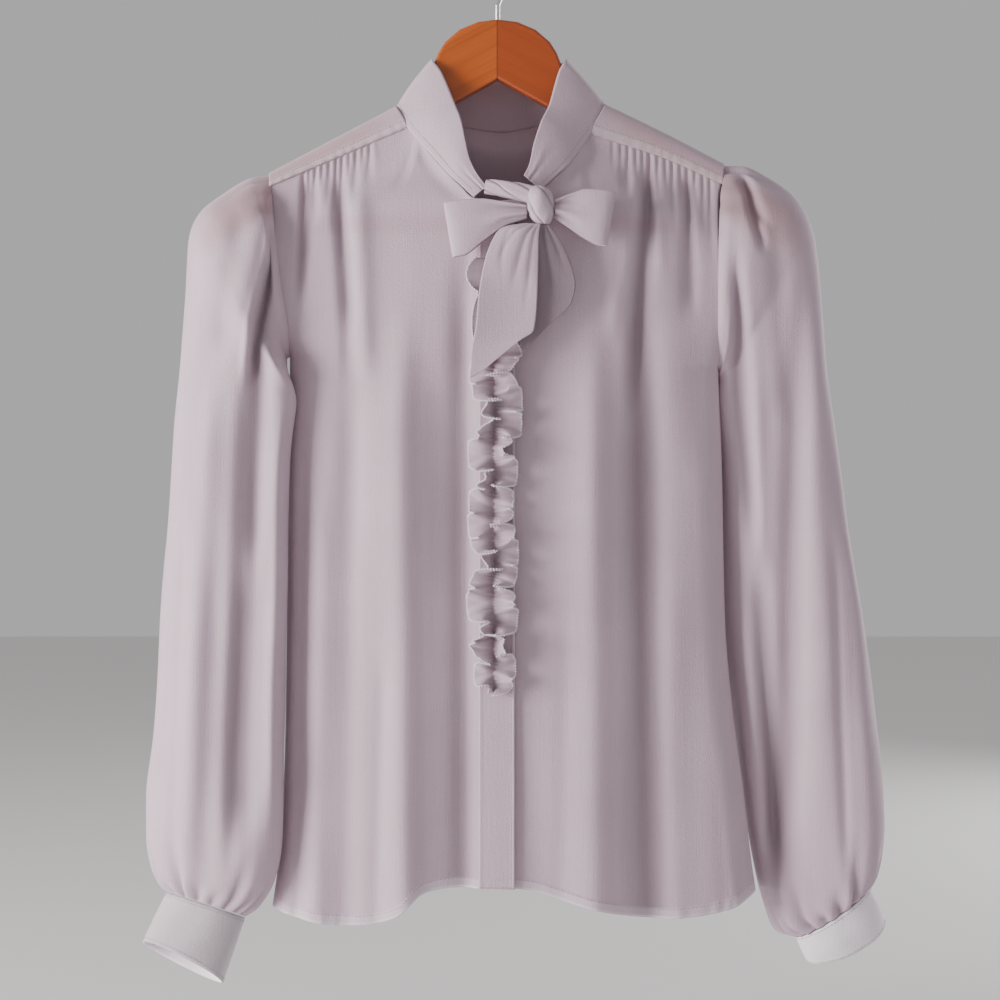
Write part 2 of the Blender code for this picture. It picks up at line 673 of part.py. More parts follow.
right_front = panel_point(TOP_RIGHT, hem_front, -1, -1, FRONT_FOLDS, (GATHERS_RIGHT,))
left_front = panel_point(TOP_LEFT, hem_front, 1, -1, FRONT_FOLDS, (GATHERS_LEFT,))
back_panel = panel_point(TOP_BACK, hem_back, 0, 1, BACK_FOLDS, ())


def lap_y(x, z):
    """Front face of the right front at its lap."""
    top = columns(TOP_RIGHT)
    z0 = top[1](0.95)
    blend = smooth(0.0, NECK_FALL, z0 - z)
    y = top[2](0.95) * (1.0 - blend) + body_y(x, z, -1) * blend
    y += fold_shift(FRONT_FOLDS, x, z) * smooth(0.0, 14.0, z0 - z) + lap_shift(x)
    return y



def placket_point(u, v):
    x = PLACKET_X[0] + (PLACKET_X[1] - PLACKET_X[0]) * u
    z = PLACKET_Z[0] + (PLACKET_Z[1] - PLACKET_Z[0]) * v
    return (x, lap_y(x, z) - SEAM_SHIFT, z)


def wing_open(side, z):
    """How far a wing lies open at a height, and the reach and phase of its lobe."""
    for which, z0, z1, reach in LOBES:
        if which == side and z1 <= z <= z0:
            t = (z0 - z) / (z0 - z1)
            return math.sin(math.pi * t) ** 0.7, reach, t, z0 - z1
    return 0.0, 15.0, 0.0, 20.0


def ruffle_point(u, v):
    z = RUFFLE_TOP + (RUFFLE_END - RUFFLE_TOP) * v
    side = 1 if u > 0.5 else -1
    out = abs(2.0 * u - 1.0)
    opened, reach, phase, length = wing_open(side, z)
    hidden = smooth(RUFFLE_LOW_Z - 8.0, RUFFLE_LOW_Z + 8.0, z)
    stand = RUFFLE_SHUT_ANGLE + (RUFFLE_OPEN_ANGLE - RUFFLE_SHUT_ANGLE) * opened
    tucked = RUFFLE_TUCKED_ANGLE * (1.0 - 0.6 * opened)
    stand = math.radians(stand * (1.0 - hidden) + tucked * hidden)
    wide = (reach * opened + RUFFLE_SHUT_WIDTH * (1.0 - opened)) * out
    end = smooth(0.0, 0.02, 1.0 - v) * 0.6 + 0.4
    y0 = lap_y(RUFFLE_MIDDLE_X, z) - SEAM_SHIFT - RUFFLE_FOOT
    curl = math.sin(math.pi * min(1.0, out)) * RUFFLE_CURL
    x = RUFFLE_MIDDLE_X + side * wide * math.cos(stand * (0.55 + 0.45 * out)) * end
    y = y0 - wide * math.sin(stand * (0.55 + 0.45 * out)) * end - curl * (1.0 - hidden)
    swing = min(4.0, 0.08 * length) * math.sin(2.0 * math.pi * phase) * out ** 1.5 * (opened > 0)
    return (x, y, z + swing * (1.0 - hidden))


def twist_point(u, v):
    pts = stations(TWIST)
    middle = np.array([f(v) for f in pts])
    ahead = np.array([f(min(1.0, v + 0.01)) for f in pts])
    behind = np.array([f(max(0.0, v - 0.01)) for f in pts])
    axis = ahead - behind
    axis = axis / np.linalg.norm(axis)
    side = np.cross(axis, (0.0, 1.0, 0.0))
    side = side / np.linalg.norm(side)
    front = np.cross(side, axis)
    radius = TWIST_RADII[0] + (TWIST_RADII[1] - TWIST_RADII[0]) * v
    turn = 2.0 * math.pi * u
    ridge = 1.0 + TWIST_RIDGE * math.cos(3.0 * turn + 2.0 * math.pi * TWIST_TURNS * v)
    p = middle + (side * math.cos(turn) * 1.25 + front * math.sin(turn) * 0.75) * radius * ridge
    return tuple(p)


def knot_point(u, v):
    z, x, wide, deep = [f(v) for f in stations(KNOT)]
    turn = 2.0 * math.pi * u
    ridge = 1.0 + KNOT_RIDGE * math.cos(3.0 * turn + 5.0 * v)
    return (x + wide * ridge * math.cos(turn), KNOT_Y - deep * ridge * math.sin(turn), z)


def spread(count, closed=False):
    return [i / count for i in range(count)] if closed else [i / (count - 1) for i in range(count)]


def normal_at(point, u, v, closed):
    u0, u1 = (u - DIFF, u + DIFF) if closed else (max(0.0, u - DIFF), min(1.0, u + DIFF))
    v0, v1 = max(0.0, v - DIFF), min(1.0, v + DIFF)
    across = np.array(point(u1 % 1.0 if closed else u1, v)) - np.array(point(u0 % 1.0 if closed else u0, v))
    down = np.array(point(u, v1)) - np.array(point(u, v0))
    n = np.cross(across, down)
    return n / max(1e-12, np.linalg.norm(n))


def stitch(a, ua, b, ub):
    """Faces between two rows whose points differ in number."""
    faces = []
    i = j = 0
    while i < len(a) - 1 or j < len(b) - 1:
        next_a = ua[i + 1] if i < len(a) - 1 else 9.0
        next_b = ub[j + 1] if j < len(b) - 1 else 9.0
        if abs(next_a - next_b) < 1e-6:
            faces.append((a[i], a[i + 1], b[j + 1], b[j]))
            i += 1
            j += 1
        elif next_a < next_b:
            faces.append((a[i], a[i + 1], b[j]))
            i += 1
        else:
            faces.append((a[i], b[j + 1], b[j]))
            j += 1
    return faces


def new_object(name, verts, faces, colour):
    mesh = bpy.data.meshes.new(name)
    mesh.from_pydata([tuple(c * MM for c in p) for p in verts], [], faces)
    mesh.validate()
    shade = bpy.data.materials.new(name + "_" + colour)
    shade.use_nodes = True
    bsdf = shade.node_tree.nodes["Principled BSDF"]
    bsdf.inputs["Base Color"].default_value = COLOURS[colour]
    hard = colour in ("wood", "steel")
    bsdf.inputs["Roughness"].default_value = HANGER_ROUGHNESS if hard else CLOTH_FACE_ROUGHNESS
    bsdf.inputs["Metallic"].default_value = 1.0 if colour == "steel" else 0.0
    mesh.materials.append(shade)
    obj = bpy.data.objects.new(name, mesh)
    bpy.context.scene.collection.objects.link(obj)
    return obj


def wall(name, point, rows, closed=False, colour="crepe", thick=WALL):
    """A cloth wall with its two faces either side of a surface. rows are (v, [u, ...])."""
    outer, inner, index = [], [], []
    for v, us in rows:
        ids = []
        for u in us:
            p = np.array(point(u, v))
            n = normal_at(point, u, v, closed)
            ids.append(len(outer))
            outer.append(p + n * thick / 2)
            inner.append(p - n * thick / 2)
        index.append(ids)
    count = len(outer)
    faces = []
    for r in range(len(rows) - 1):
        a, b = list(index[r]), list(index[r + 1])
        ua, ub = list(rows[r][1]), list(rows[r + 1][1])
        if closed:
            a.append(a[0])
            b.append(b[0])
            ua.append(1.0)
            ub.append(1.0)
        faces += stitch(a, ua, b, ub)
    faces += [tuple(i + count for i in reversed(f)) for f in faces]
    for ids, flip in ((index[0], True), (index[-1], False)):
        loop = ids + [ids[0]] if closed else ids
        for p, q in zip(loop[:-1], loop[1:]):
            faces.append((q, p, p + count, q + count) if flip else (p, q, q + count, p + count))
    if not closed:
        for end, flip in ((0, False), (-1, True)):
            side = [ids[end] for ids in index]
            for p, q in zip(side[:-1], side[1:]):
                faces.append((q, p, p + count, q + count) if flip else (p, q, q + count, p + count))
    return new_object(name, outer + inner, faces, colour)


def mixed_rows(vs, plain, dense_below, dense):
    """Rows with close points above a height and fewer below it."""
    return [(v, dense if v < dense_below else plain) for v in vs]


def gather_columns(top, gathers, plain, per_wave=4):
    """Column places that follow every gather of a seam, with the plain ones elsewhere."""
    xs = columns(top)[0]
    us = np.linspace(0.0, 1.0, 801)
    line = np.array([xs(float(u)) for u in us])
    g0, g1, count = gathers[:3]
    step = (g1 - g0) / (count * per_wave)
    wanted = [g0 + step * i for i in range(count * per_wave + 1)]
    close = [float(us[int(np.argmin(abs(line - w)))]) for w in wanted]
    low, high = min(close), max(close)
    rest = [u for u in plain if u < low - 0.012 or u > high + 0.012]
    return sorted(rest + close)


def build_fronts():
    vs = [0.0, 0.014, 0.034, 0.06, 0.10, 0.15, 0.21, 0.27, 0.35, 0.46, 0.60, 0.74, 0.88, 1.0]
    plain = [0.0, 0.04, 0.10, 0.18, 0.27, 0.36, 0.45, 0.53, 0.60, 0.67, 0.75, 0.82, 0.89, 0.93, 1.0]
    dense = gather_columns(TOP_RIGHT, GATHERS_RIGHT, plain)
    wall("front_right", right_front, mixed_rows(vs, plain, 0.04, dense))
    plain = [0.0, 0.10, 0.21, 0.28, 0.36, 0.42, 0.48, 0.56, 0.65, 0.74, 0.83, 0.90, 0.96, 1.0]
    dense = gather_columns(TOP_LEFT, GATHERS_LEFT, plain)
    wall("front_left", left_front, mixed_rows(vs, plain, 0.04, dense))


def build_back():
    vs = [0.0, 0.025, 0.06, 0.10, 0.15, 0.21, 0.27, 0.36, 0.50, 0.66, 0.84, 1.0]
    us = [0.0, 0.025, 0.07, 0.14, 0.22, 0.29, 0.33, 0.42, 0.51, 0.60, 0.69, 0.72, 0.79, 0.87, 0.93, 0.975, 1.0]
    wall("back", back_panel, [(v, us) for v in vs])


def build_sleeves():
    plain = spread(24, True)
    close = spread(CUFF_GATHERS * 4, True)
    head = sorted(set([i / 64 for i in range(64) if i <= 14 or i >= 50] + [i / 24 for i in range(6, 19)]))
    vs = [(0.0, plain), (0.03, head), (0.07, head), (0.125, plain), (0.19, plain), (0.25, plain), (0.31, plain),
          (0.38, plain), (0.48, plain), (0.58, plain), (0.68, plain), (0.77, plain),
          (0.84, plain), (0.89, plain), (0.93, close), (0.965, close), (1.0, close)]
    wall("sleeve_right", sleeve_point(SLEEVE_RIGHT, SLEEVE_FOLDS_RIGHT, -1), vs, True)
    wall("sleeve_left", sleeve_point(SLEEVE_LEFT, SLEEVE_FOLDS_LEFT, 1), vs, True)
    rows = [(v, spread(28, True)) for v in (0.0, 0.5, 1.0)]
    wall("cuff_right", cuff_point(CUFF_RIGHT), rows, True, "cuff_crepe", CUFF_WALL)
    wall("cuff_left", cuff_point(CUFF_LEFT), rows, True, "cuff_crepe", CUFF_WALL)


def build_neck():
    us = [0.0, 0.03, 0.06, 0.12, 0.155, 0.19, 0.225, 0.26, 0.285, 0.31, 0.325, 0.34, 0.36, 0.38, 0.41, 0.44,
          0.48, 0.52, 0.56, 0.60, 0.625, 0.65, 0.665, 0.68, 0.70, 0.72, 0.77, 0.83, 0.865, 0.90, 0.96, 1.0]
    wall("collar", collar_point(), [(v, us) for v in (0.0, 0.33, 0.67, 1.0)])
    rows = [(v, spread(7)) for v in spread(8)]
    wall("yoke_right", yoke_point(YOKE_RIGHT), rows)
    wall("yoke_left", yoke_point(YOKE_LEFT), rows)


def build_bow():
    wall("bow_twist", twist_point, [(v, spread(15, True)) for v in spread(6)], True)
    wall("bow_knot", knot_point, [(v, spread(15, True)) for v in spread(7)], True)
    rows = [(v, spread(21)) for v in spread(6)]
    wall("bow_loop_right", loop_point(LOOP_RIGHT), rows)
    wall("bow_loop_left", loop_point(LOOP_LEFT), rows)
    wall("tie_end_front", tie_point(TIE_FRONT), [(v, spread(5)) for v in spread(14)])
    wall("tie_end_back", tie_point(TIE_BACK), [(v, spread(5)) for v in spread(11)])


def build_placket():
    wall("placket", placket_point, [(v, spread(4)) for v in spread(20)])
    us = [0.0, 0.18, 0.36, 0.5, 0.64, 0.82, 1.0]
    wall("ruffle", ruffle_point, [(v, us) for v in spread(76)], thick=RUFFLE_WALL)


def outline_inset(points, inset):
    """A closed outline moved inwards by a distance."""
    out = []
    n = len(points)
    for i in range(n):
        before = np.array(points[i - 1])
        here = np.array(points[i])
        after = np.array(points[(i + 1) % n])
        a = (here - before) / np.linalg.norm(here - before)
        b = (after - here) / np.linalg.norm(after - here)
        na = np.array((a[1], -a[0]))
        nb = np.array((b[1], -b[0]))
        m = na + nb
        m = m / max(0.35, float(np.dot(m, m)) ** 0.5)
        out.append(here + m * inset / max(0.6, float(np.dot(m, na))))
    return out


def build_hanger():
    outline = list(BOARD) + [(-x, z) for x, z in reversed(BOARD[1:-1])]
    layers = ((-BOARD_HALF, BOARD_ROUND), (-BOARD_HALF + 0.6, 0.6), (-BOARD_HALF + BOARD_ROUND, 0.0),
              (BOARD_HALF - BOARD_ROUND, 0.0), (BOARD_HALF - 0.6, 0.6), (BOARD_HALF, BOARD_ROUND))
    verts = []
    faces = []
    n = len(outline)
    for y, inset in layers:
        verts += [(p[0], y, p[1]) for p in outline_inset(outline, inset)]
    for layer in range(len(layers) - 1):
        for i in range(n):
            j = (i + 1) % n
            faces.append((layer * n + i, layer * n + j, (layer + 1) * n + j, (layer + 1) * n + i))
    faces.append(tuple(reversed(range(n))))
    faces.append(tuple(range((len(layers) - 1) * n, len(layers) * n)))
    new_object("hanger_wood", verts, faces, "wood")

    lower = sorted((z, x) for x, z in BOARD[-6:])
    underside = curve([z for z, x in lower], [x for z, x in lower])
    verts, faces = [], []
    sides = 16
    for side in (-1, 1):
        for i in range(sides):
            turn = 2.0 * math.pi * i / sides
            z = BAR_Z + BAR_RADIUS * math.cos(turn)
            reach = underside(z) - BAR_GAP
            verts.append((side * reach, BAR_RADIUS * math.sin(turn), z))
    for i in range(sides):
        j = (i + 1) % sides
        faces.append((i, j, sides + j, sides + i))
    faces.append(tuple(range(sides)))
    faces.append(tuple(range(sides, 2 * sides)))
    new_object("hanger_bar", verts, faces, "wood")

    path = []
    for i in range(21):
        turn = math.radians(HOOK_START_ANGLE - HOOK_TURN * i / 20)
        path.append((HOOK_RADIUS * math.cos(turn), HOOK_WIRE - HOOK_RADIUS + HOOK_RADIUS * math.sin(turn)))
    path += [*HOOK_BENDS, (0.0, HOOK_STEM_END)]
    verts, faces = [], []
    sides = 10
    for i, (x, z) in enumerate(path):
        a = np.array(path[max(0, i - 1)])
        b = np.array(path[min(len(path) - 1, i + 1)])
        along = (b - a) / np.linalg.norm(b - a)
        flat = np.array((along[1], -along[0]))
        for k in range(sides):
            turn = 2.0 * math.pi * k / sides
            off = flat * HOOK_WIRE * math.cos(turn)
            verts.append((x + off[0], HOOK_WIRE * math.sin(turn), z + off[1]))
    for i in range(len(path) - 1):
        for k in range(sides):
            m = (k + 1) % sides
            faces.append((i * sides + k, i * sides + m, (i + 1) * sides + m, (i + 1) * sides + k))
    faces.append(tuple(range(sides)))
    faces.append(tuple(range((len(path) - 1) * sides, len(path) * sides)))
    new_object("hanger_hook", verts, faces, "steel")


def outward(obj):
    """Turn every face outwards."""
    bm = bmesh.new()
    bm.from_mesh(obj.data)
    bmesh.ops.triangulate(bm, faces=bm.faces[:])
    bmesh.ops.recalc_face_normals(bm, faces=bm.faces[:])
    bm.to_mesh(obj.data)
    bm.free()


def main():
    for obj in list(bpy.data.objects):
        bpy.data.objects.remove(obj)
    build_hanger()
    build_fronts()
    build_back()
    build_sleeves()
    build_neck()
    build_placket()
    build_bow()
    for obj in list(bpy.context.scene.objects):
        outward(obj)


main()
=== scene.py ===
import json
import math

import bmesh
import bpy
import mathutils
import numpy as np
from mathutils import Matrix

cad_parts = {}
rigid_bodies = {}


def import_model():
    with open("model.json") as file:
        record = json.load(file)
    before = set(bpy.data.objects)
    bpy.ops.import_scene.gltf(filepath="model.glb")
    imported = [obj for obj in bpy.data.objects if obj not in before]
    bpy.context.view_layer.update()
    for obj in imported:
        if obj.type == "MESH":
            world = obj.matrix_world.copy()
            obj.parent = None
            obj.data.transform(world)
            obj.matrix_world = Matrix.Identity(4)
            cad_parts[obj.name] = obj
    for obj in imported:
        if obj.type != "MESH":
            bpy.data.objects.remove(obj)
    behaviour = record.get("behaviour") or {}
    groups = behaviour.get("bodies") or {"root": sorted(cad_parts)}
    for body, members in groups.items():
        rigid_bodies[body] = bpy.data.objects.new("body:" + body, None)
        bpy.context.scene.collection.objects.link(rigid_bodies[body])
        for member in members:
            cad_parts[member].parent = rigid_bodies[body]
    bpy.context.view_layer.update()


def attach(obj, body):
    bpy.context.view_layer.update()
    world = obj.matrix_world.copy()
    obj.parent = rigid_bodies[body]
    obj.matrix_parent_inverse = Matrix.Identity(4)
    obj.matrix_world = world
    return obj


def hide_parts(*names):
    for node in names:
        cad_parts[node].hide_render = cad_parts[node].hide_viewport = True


bl_info = {
    "name": "Tie Neck Blouse on a Hanger",
    "version": (1, 0, 0),
    "blender": (4, 5, 0),
    "location": "3D View > Sidebar > Blouse",
    "description": "Dresses the blouse and its hanger in crepe, stitching and varnished wood",
    "category": "Object",
}

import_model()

# Everything is built in millimetres, in the part's own frame, and scaled by MM at the end.
MM = 0.001
EDGE_GAP = 0.7
SEAM_SHIFT = 1.4
ARM_SHIFT = -0.6
# Sides of the body, front and back, by height.
# z, x at the wearer's right, x at the wearer's left, depth in front, depth behind
BODY = (
    (-125.3, -169.6, 169.6, 13, 15), (-175.0, -166.7, 165.2, 20, 24),
    (-197.3, -164.5, 162.4, 27, 27), (-240.5, -160.2, 160.9, 30, 29),
    (-306.7, -151.6, 160.9, 31, 30), (-388.8, -152.3, 163.7, 32, 31),
    (-500.4, -153.7, 166.0, 33, 33), (-562.3, -154.4, 171.0, 34, 34),
    (-619.2, -155.9, 178.5, 35, 36), (-666.7, -158.8, 184.0, 37, 38),
    (-722.9, -166.0, 191.9, 39, 40),
)
BODY_POWER = 2.6
ARM_POWER = 2.2

# The armhole of each side: its top on the ridge and its lowest point under the arm.
# side, top x, top z, low x, low z, half depth
ARMHOLES = {
    -1: (-166.7, -175.0, -151.6, -306.7, 20.0),
    1: (167.4, -168.5, 160.9, -316.1, 21.0),
}

# Top edge of each front: the yoke seam, then the neckline.
# u, x, z, y
TOP_RIGHT = (
    (0.00, -166.0, -184.2, -11.6), (0.25, -130.7, -169.0, -10.6), (0.36, -106.0, -158.4, -10.4),
    (0.46, -81.7, -148.0, -10.8), (0.51, -70.2, -143.1, -10.8), (0.53, -65.2, -141.0, -11.2),
    (0.64, -48.6, -162.0, -19.0), (0.74, -33.5, -179.3, -25.0), (0.80, -26.3, -186.5, -27.0),
    (0.87, -16.9, -195.8, -29.0), (1.00, 12.6, -199.4, -29.0),
)
TOP_LEFT = (
    (0.00, -12.6, -199.4, -28.5), (0.21, 29.9, -193.0, -28.5), (0.27, 35.6, -186.5, -27.0),
    (0.36, 50.0, -172.8, -25.0), (0.42, 58.7, -160.6, -19.0), (0.48, 67.3, -146.4, -11.2),
    (0.60, 90.0, -153.1, -10.8), (0.78, 124.7, -164.7, -10.7), (0.90, 148.0, -175.3, -11.3),
    (1.00, 163.1, -182.4, -12.0),
)
# Top edge of the back. u, x, z, y
TOP_BACK = (
    (0.00, -166.0, -186.6, 12.0), (0.15, -115.0, -161.2, 10.6), (0.29, -68.8, -137.8, 10.5),
    (0.33, -55.8, -135.4, 17.0), (0.42, -28.4, -133.9, 25.0), (0.51, 3.2, -139.0, 28.0),
    (0.60, 34.2, -133.9, 25.0), (0.69, 59.4, -135.4, 17.0), (0.72, 71.6, -136.4, 10.6),
    (0.86, 119.0, -160.4, 10.9), (1.00, 163.8, -184.8, 12.0),
)
# Lower edge of the fronts. x, z
HEM = (
    (-169.6, -707.0), (-142.2, -715.0), (-109.1, -719.3), (-91.1, -718.2), (-72.4, -712.1),
    (-52.2, -694.8), (-31.3, -691.6), (12.6, -691.9), (27.7, -693.9), (42.8, -698.8),
    (70.2, -707.0), (99.0, -712.8), (118.4, -714.6), (139.3, -713.2), (166.7, -708.5),
    (191.9, -696.2),
)
# Lower edge of the back. x, z
HEM_BACK = (
    (-169.6, -707.0), (-127.8, -711.4), (-84.6, -708.5), (-52.2, -699.8), (9.0, -696.2),
    (66.6, -701.3), (117.0, -709.9), (166.7, -707.8), (191.9, -696.2),
)
LAP_RIGHT_X = 12.6
LAP_LEFT_X = -12.6
LAP_START_X = -22.7
LAP_SHIFT = 2.6
PLACKET_X = (-13.3, LAP_RIGHT_X - 0.4)
PLACKET_Z = (-201.6, -691.2)
TOP_FALL = 48.0
NECK_X = 60.0
HEM_Z = -700.0
SIDE_CALM = 20.0
NECK_FALL = 20.0

# Long soft folds of the fronts; positive depth is a hollow.
# x at top, z at top, x at bottom, z at bottom, half width, depth
FRONT_FOLDS = (
    (-117.0, -172.8, -106.2, -290.9, 5.5, 2.6), (-133.6, -177.1, -144.4, -269.3, 5.0, 2.4),
    (-81.0, -290.9, -70.2, -726.5, 17.0, -4.0), (-41.4, -290.9, -32.8, -726.5, 15.0, 3.0),
    (-120.6, -427.7, -126.4, -726.5, 20.0, -1.8), (110.5, -162.7, 98.3, -355.7, 6.0, 3.2),
    (94.7, -159.8, 84.6, -269.3, 4.0, 1.6), (137.2, -172.1, 135.7, -283.7, 5.0, 1.6),
    (66.6, -290.9, 63.0, -726.5, 18.0, -3.2), (99.7, -312.5, 102.6, -726.5, 15.0, 3.6),
    (149.4, -341.3, 163.1, -726.5, 14.0, -2.0),
)
BACK_FOLDS = (
    (-120.6, -218.9, -126.4, -726.5, 18.0, -2.6), (-73.8, -240.5, -76.0, -726.5, 16.0, 2.8),
    (-19.8, -226.1, -23.4, -726.5, 20.0, -2.4), (45.0, -240.5, 48.6, -726.5, 17.0, 2.8),
    (102.6, -218.9, 113.4, -726.5, 18.0, -3.0), (145.8, -240.5, 154.4, -726.5, 13.0, 2.0),
)

# Shoulder strips: ridge, front seam and back seam, from the neck to the armhole.
# t, ridge x, ridge z, front x, front z, back x, back z, half depth
YOKE_RIGHT = (
    (0.0, -74.1, -125.3, -65.2, -139.7, -68.8, -135.7, 10.6),
    (0.5, -119.9, -149.4, -114.1, -160.6, -117.7, -160.2, 10.2),
    (1.0, -166.7, -174.2, -166.0, -182.9, -166.0, -184.7, 11.6),
)
YOKE_LEFT = (
    (0.0, 78.8, -123.8, 67.3, -145.1, 71.6, -134.3, 10.8),
    (0.5, 124.2, -145.9, 118.4, -160.9, 118.4, -157.7, 10.6),
    (1.0, 165.6, -167.5, 163.8, -181.4, 163.8, -182.9, 12.0),
)

# Rings of each sleeve from the armhole to the cuff seam: outer point, inner point,
# then how far forward each of the two sits, the half depths in front and behind,
# and the slope of the ring towards the viewer in degrees.
# outer x, outer z, inner x, inner z, y outer, y inner, front, back, slope
SLEEVE_RIGHT = (
    (-169.2, -175.0, -154.1, -306.7, 0, 0, 20, 20, 0),
    (-179.6, -177.1, -155.2, -310.3, 0, -3, 25, 24, 0),
    (-199.1, -188.6, -155.9, -315.4, 0, -9, 29, 26, 0),
    (-217.1, -202.3, -154.8, -321.8, 0, -15, 31, 26, 0),
    (-225.7, -223.2, -151.6, -331.2, 0, -21, 30, 24, 0),
    (-228.6, -269.3, -149.8, -342.7, 0, -18.5, 27, 22, 0),
    (-231.5, -311.8, -150.5, -359.3, 0, -18.5, 25, 21, 0),
    (-235.8, -355.7, -151.2, -385.9, 0, -18.5, 24, 21, 0),
    (-239.5, -401.0, -151.9, -416.9, 0, -18.5, 24, 21, 0),
    (-243.0, -456.5, -152.6, -463.7, 0, -18.5, 24, 22, 0),
    (-247.0, -519.8, -153.0, -522.7, 0, -19.5, 25, 23, 0),
    (-251.6, -586.1, -154.1, -586.1, 0, -20, 27, 24, 0),
    (-256.1, -629.3, -155.2, -627.8, 0, -21, 28, 25, 2),
    (-256.2, -661.7, -156.6, -663.8, 0, -21.5, 28, 25, 5),
    (-253.1, -683.3, -161.6, -688.3, 0, -20, 26, 23, 8),
    (-248.8, -693.4, -171.7, -706.3, 0, -15, 22, 19, 11),
    (-241.6, -700.3, -184.5, -716.8, 0, -6, 17.6, 14.6, 12),
)
SLEEVE_LEFT = (
    (167.0, -168.8, 163.1, -316.1, 0, 0, 21, 21, 0),
    (178.9, -168.8, 164.2, -320.4, 0, 3, 26, 25, 0),
    (199.1, -178.6, 164.9, -325.4, 0, 10, 30, 27, 0),
    (220.0, -195.1, 163.8, -331.9, 0, 16, 31, 27, 0),
    (231.5, -219.6, 160.9, -339.8, 0, 20, 30, 25, 0),
    (237.2, -272.9, 159.8, -351.4, 0, 20.5, 27, 23, 0),
    (240.8, -319.7, 160.6, -368.6, 0, 20.5, 26, 22, 0),
    (246.6, -359.3, 161.3, -391.7, 0, 20.5, 26, 22, 0),
    (251.6, -398.9, 162.0, -419.0, 0, 20.5, 26, 22, 0),
    (258.1, -447.8, 163.4, -460.1, 0, 21.5, 27, 22, 0),
    (266.8, -503.3, 166.0, -510.5, 0, 21.5, 28, 23, 0),
    (275.4, -563.0, 173.2, -570.2, 0, 22, 29, 24, 0),
    (281.2, -612.0, 181.1, -623.5, 0, 22, 29, 25, 0),
    (283.1, -649.4, 188.3, -669.6, 0, 22, 29, 25, -2),
    (281.5, -673.9, 195.5, -704.9, 0, 17, 27, 24, -5),
    (278.3, -686.2, 204.8, -727.9, 0, 9, 23, 20, -8),
    (271.1, -695.8, 218.5, -732.2, 0, 4, 17.6, 14.6, -10),
)
# Folds along the sleeves; side of the ring is 1 in front and -1 behind.
# ring side, x at top, z at top, x at bottom, z at bottom, half width, depth
SLEEVE_FOLDS_RIGHT = (
    (1, -168.8, -208.1, -176.8, -485.3, 6.5, 8.0), (1, -176.8, -456.5, -183.2, -665.3, 9.0, 7.0),
    (1, -217.8, -269.3, -228.6, -694.1, 16.0, -2.5), (1, -192.6, -197.3, -198.4, -312.5, 8.0, 2.5),
    (1, -204.1, -456.5, -211.3, -694.1, 10.0, 2.0),
    (-1, -196.2, -240.5, -198.4, -672.5, 9.0, -6.0),
    (-1, -224.3, -355.7, -228.6, -686.9, 9.0, 2.0),
)
SLEEVE_FOLDS_LEFT = (
    (1, 171.0, -222.5, 186.8, -456.5, 5.0, 7.0), (1, 186.8, -442.1, 205.6, -701.3, 7.0, 9.0),
    (1, 178.2, -175.7, 192.6, -215.3, 4.0, 4.0), (1, 217.8, -240.5, 243.0, -694.1, 15.0, -2.5),
    (1, 199.8, -208.1, 210.6, -355.7, 8.0, 2.5), (1, 259.6, -456.5, 266.8, -672.5, 8.0, 1.8),
    (-1, 203.4, -240.5, 221.4, -686.9, 9.0, -6.0), (-1, 246.6, -355.7, 261.0, -672.5, 9.0, 2.0),
)
# The front of each sleeve head falls forward over the armhole.
# side, z at top, z of the fullest part, z at bottom, shift to the body, shift forward
HEAD_FLAP = {
    -1: (-175.7, -215.3, -306.7, 8.0, 9.5),
    1: (-170.6, -215.3, -316.1, -1.0, 5.0),
}
# Stretches of the sleeve, from 0 at the armhole to 1 at the cuff, where each effect fades.
HEAD_BLEND = 0.07
FLAP_END = (0.10, 0.34)
FOLD_FADE = (0.10, 0.93)
# Walls of the doubled pieces.
CUFF_WALL = 1.6
# How much painted shade darkens the inside of a cuff.
CUFF_INSIDE_SHADE = 0.85
RUFFLE_WALL = 0.8
FOLDED_WALL = 1.0
YOKE_WALL = 1.1
COLLAR_WALL = 1.2

# Under the arm the sleeve lies against the body: level, reach, shift to the body and forward.
UNDERARM_Z = -338.0
UNDERARM_REACH = 34.0
UNDERARM_SHIFT = (3.4, 2.0)

# Cuffs, top ring then bottom ring. outer x, outer z, inner x, inner z, y outer, y inner,
# half depth in front, behind, slope
CUFF_RIGHT = (
    (-241.6, -701.3, -184.9, -717.8, 0, -6, 17, 14, 12),
    (-250.2, -719.3, -192.6, -742.3, -2, -8, 17.5, 14.5, 19),
    (-258.5, -736.6, -200.5, -763.9, -5, -12, 18, 15, 26),
)
CUFF_LEFT = (
    (271.6, -696.7, 219.0, -733.0, 0, 4, 17, 14, -10),
    (279.0, -711.4, 222.8, -742.3, 1, 5, 17.5, 14.5, -20),
    (284.0, -724.3, 226.4, -749.5, 4, 8, 18, 15, -30),
)

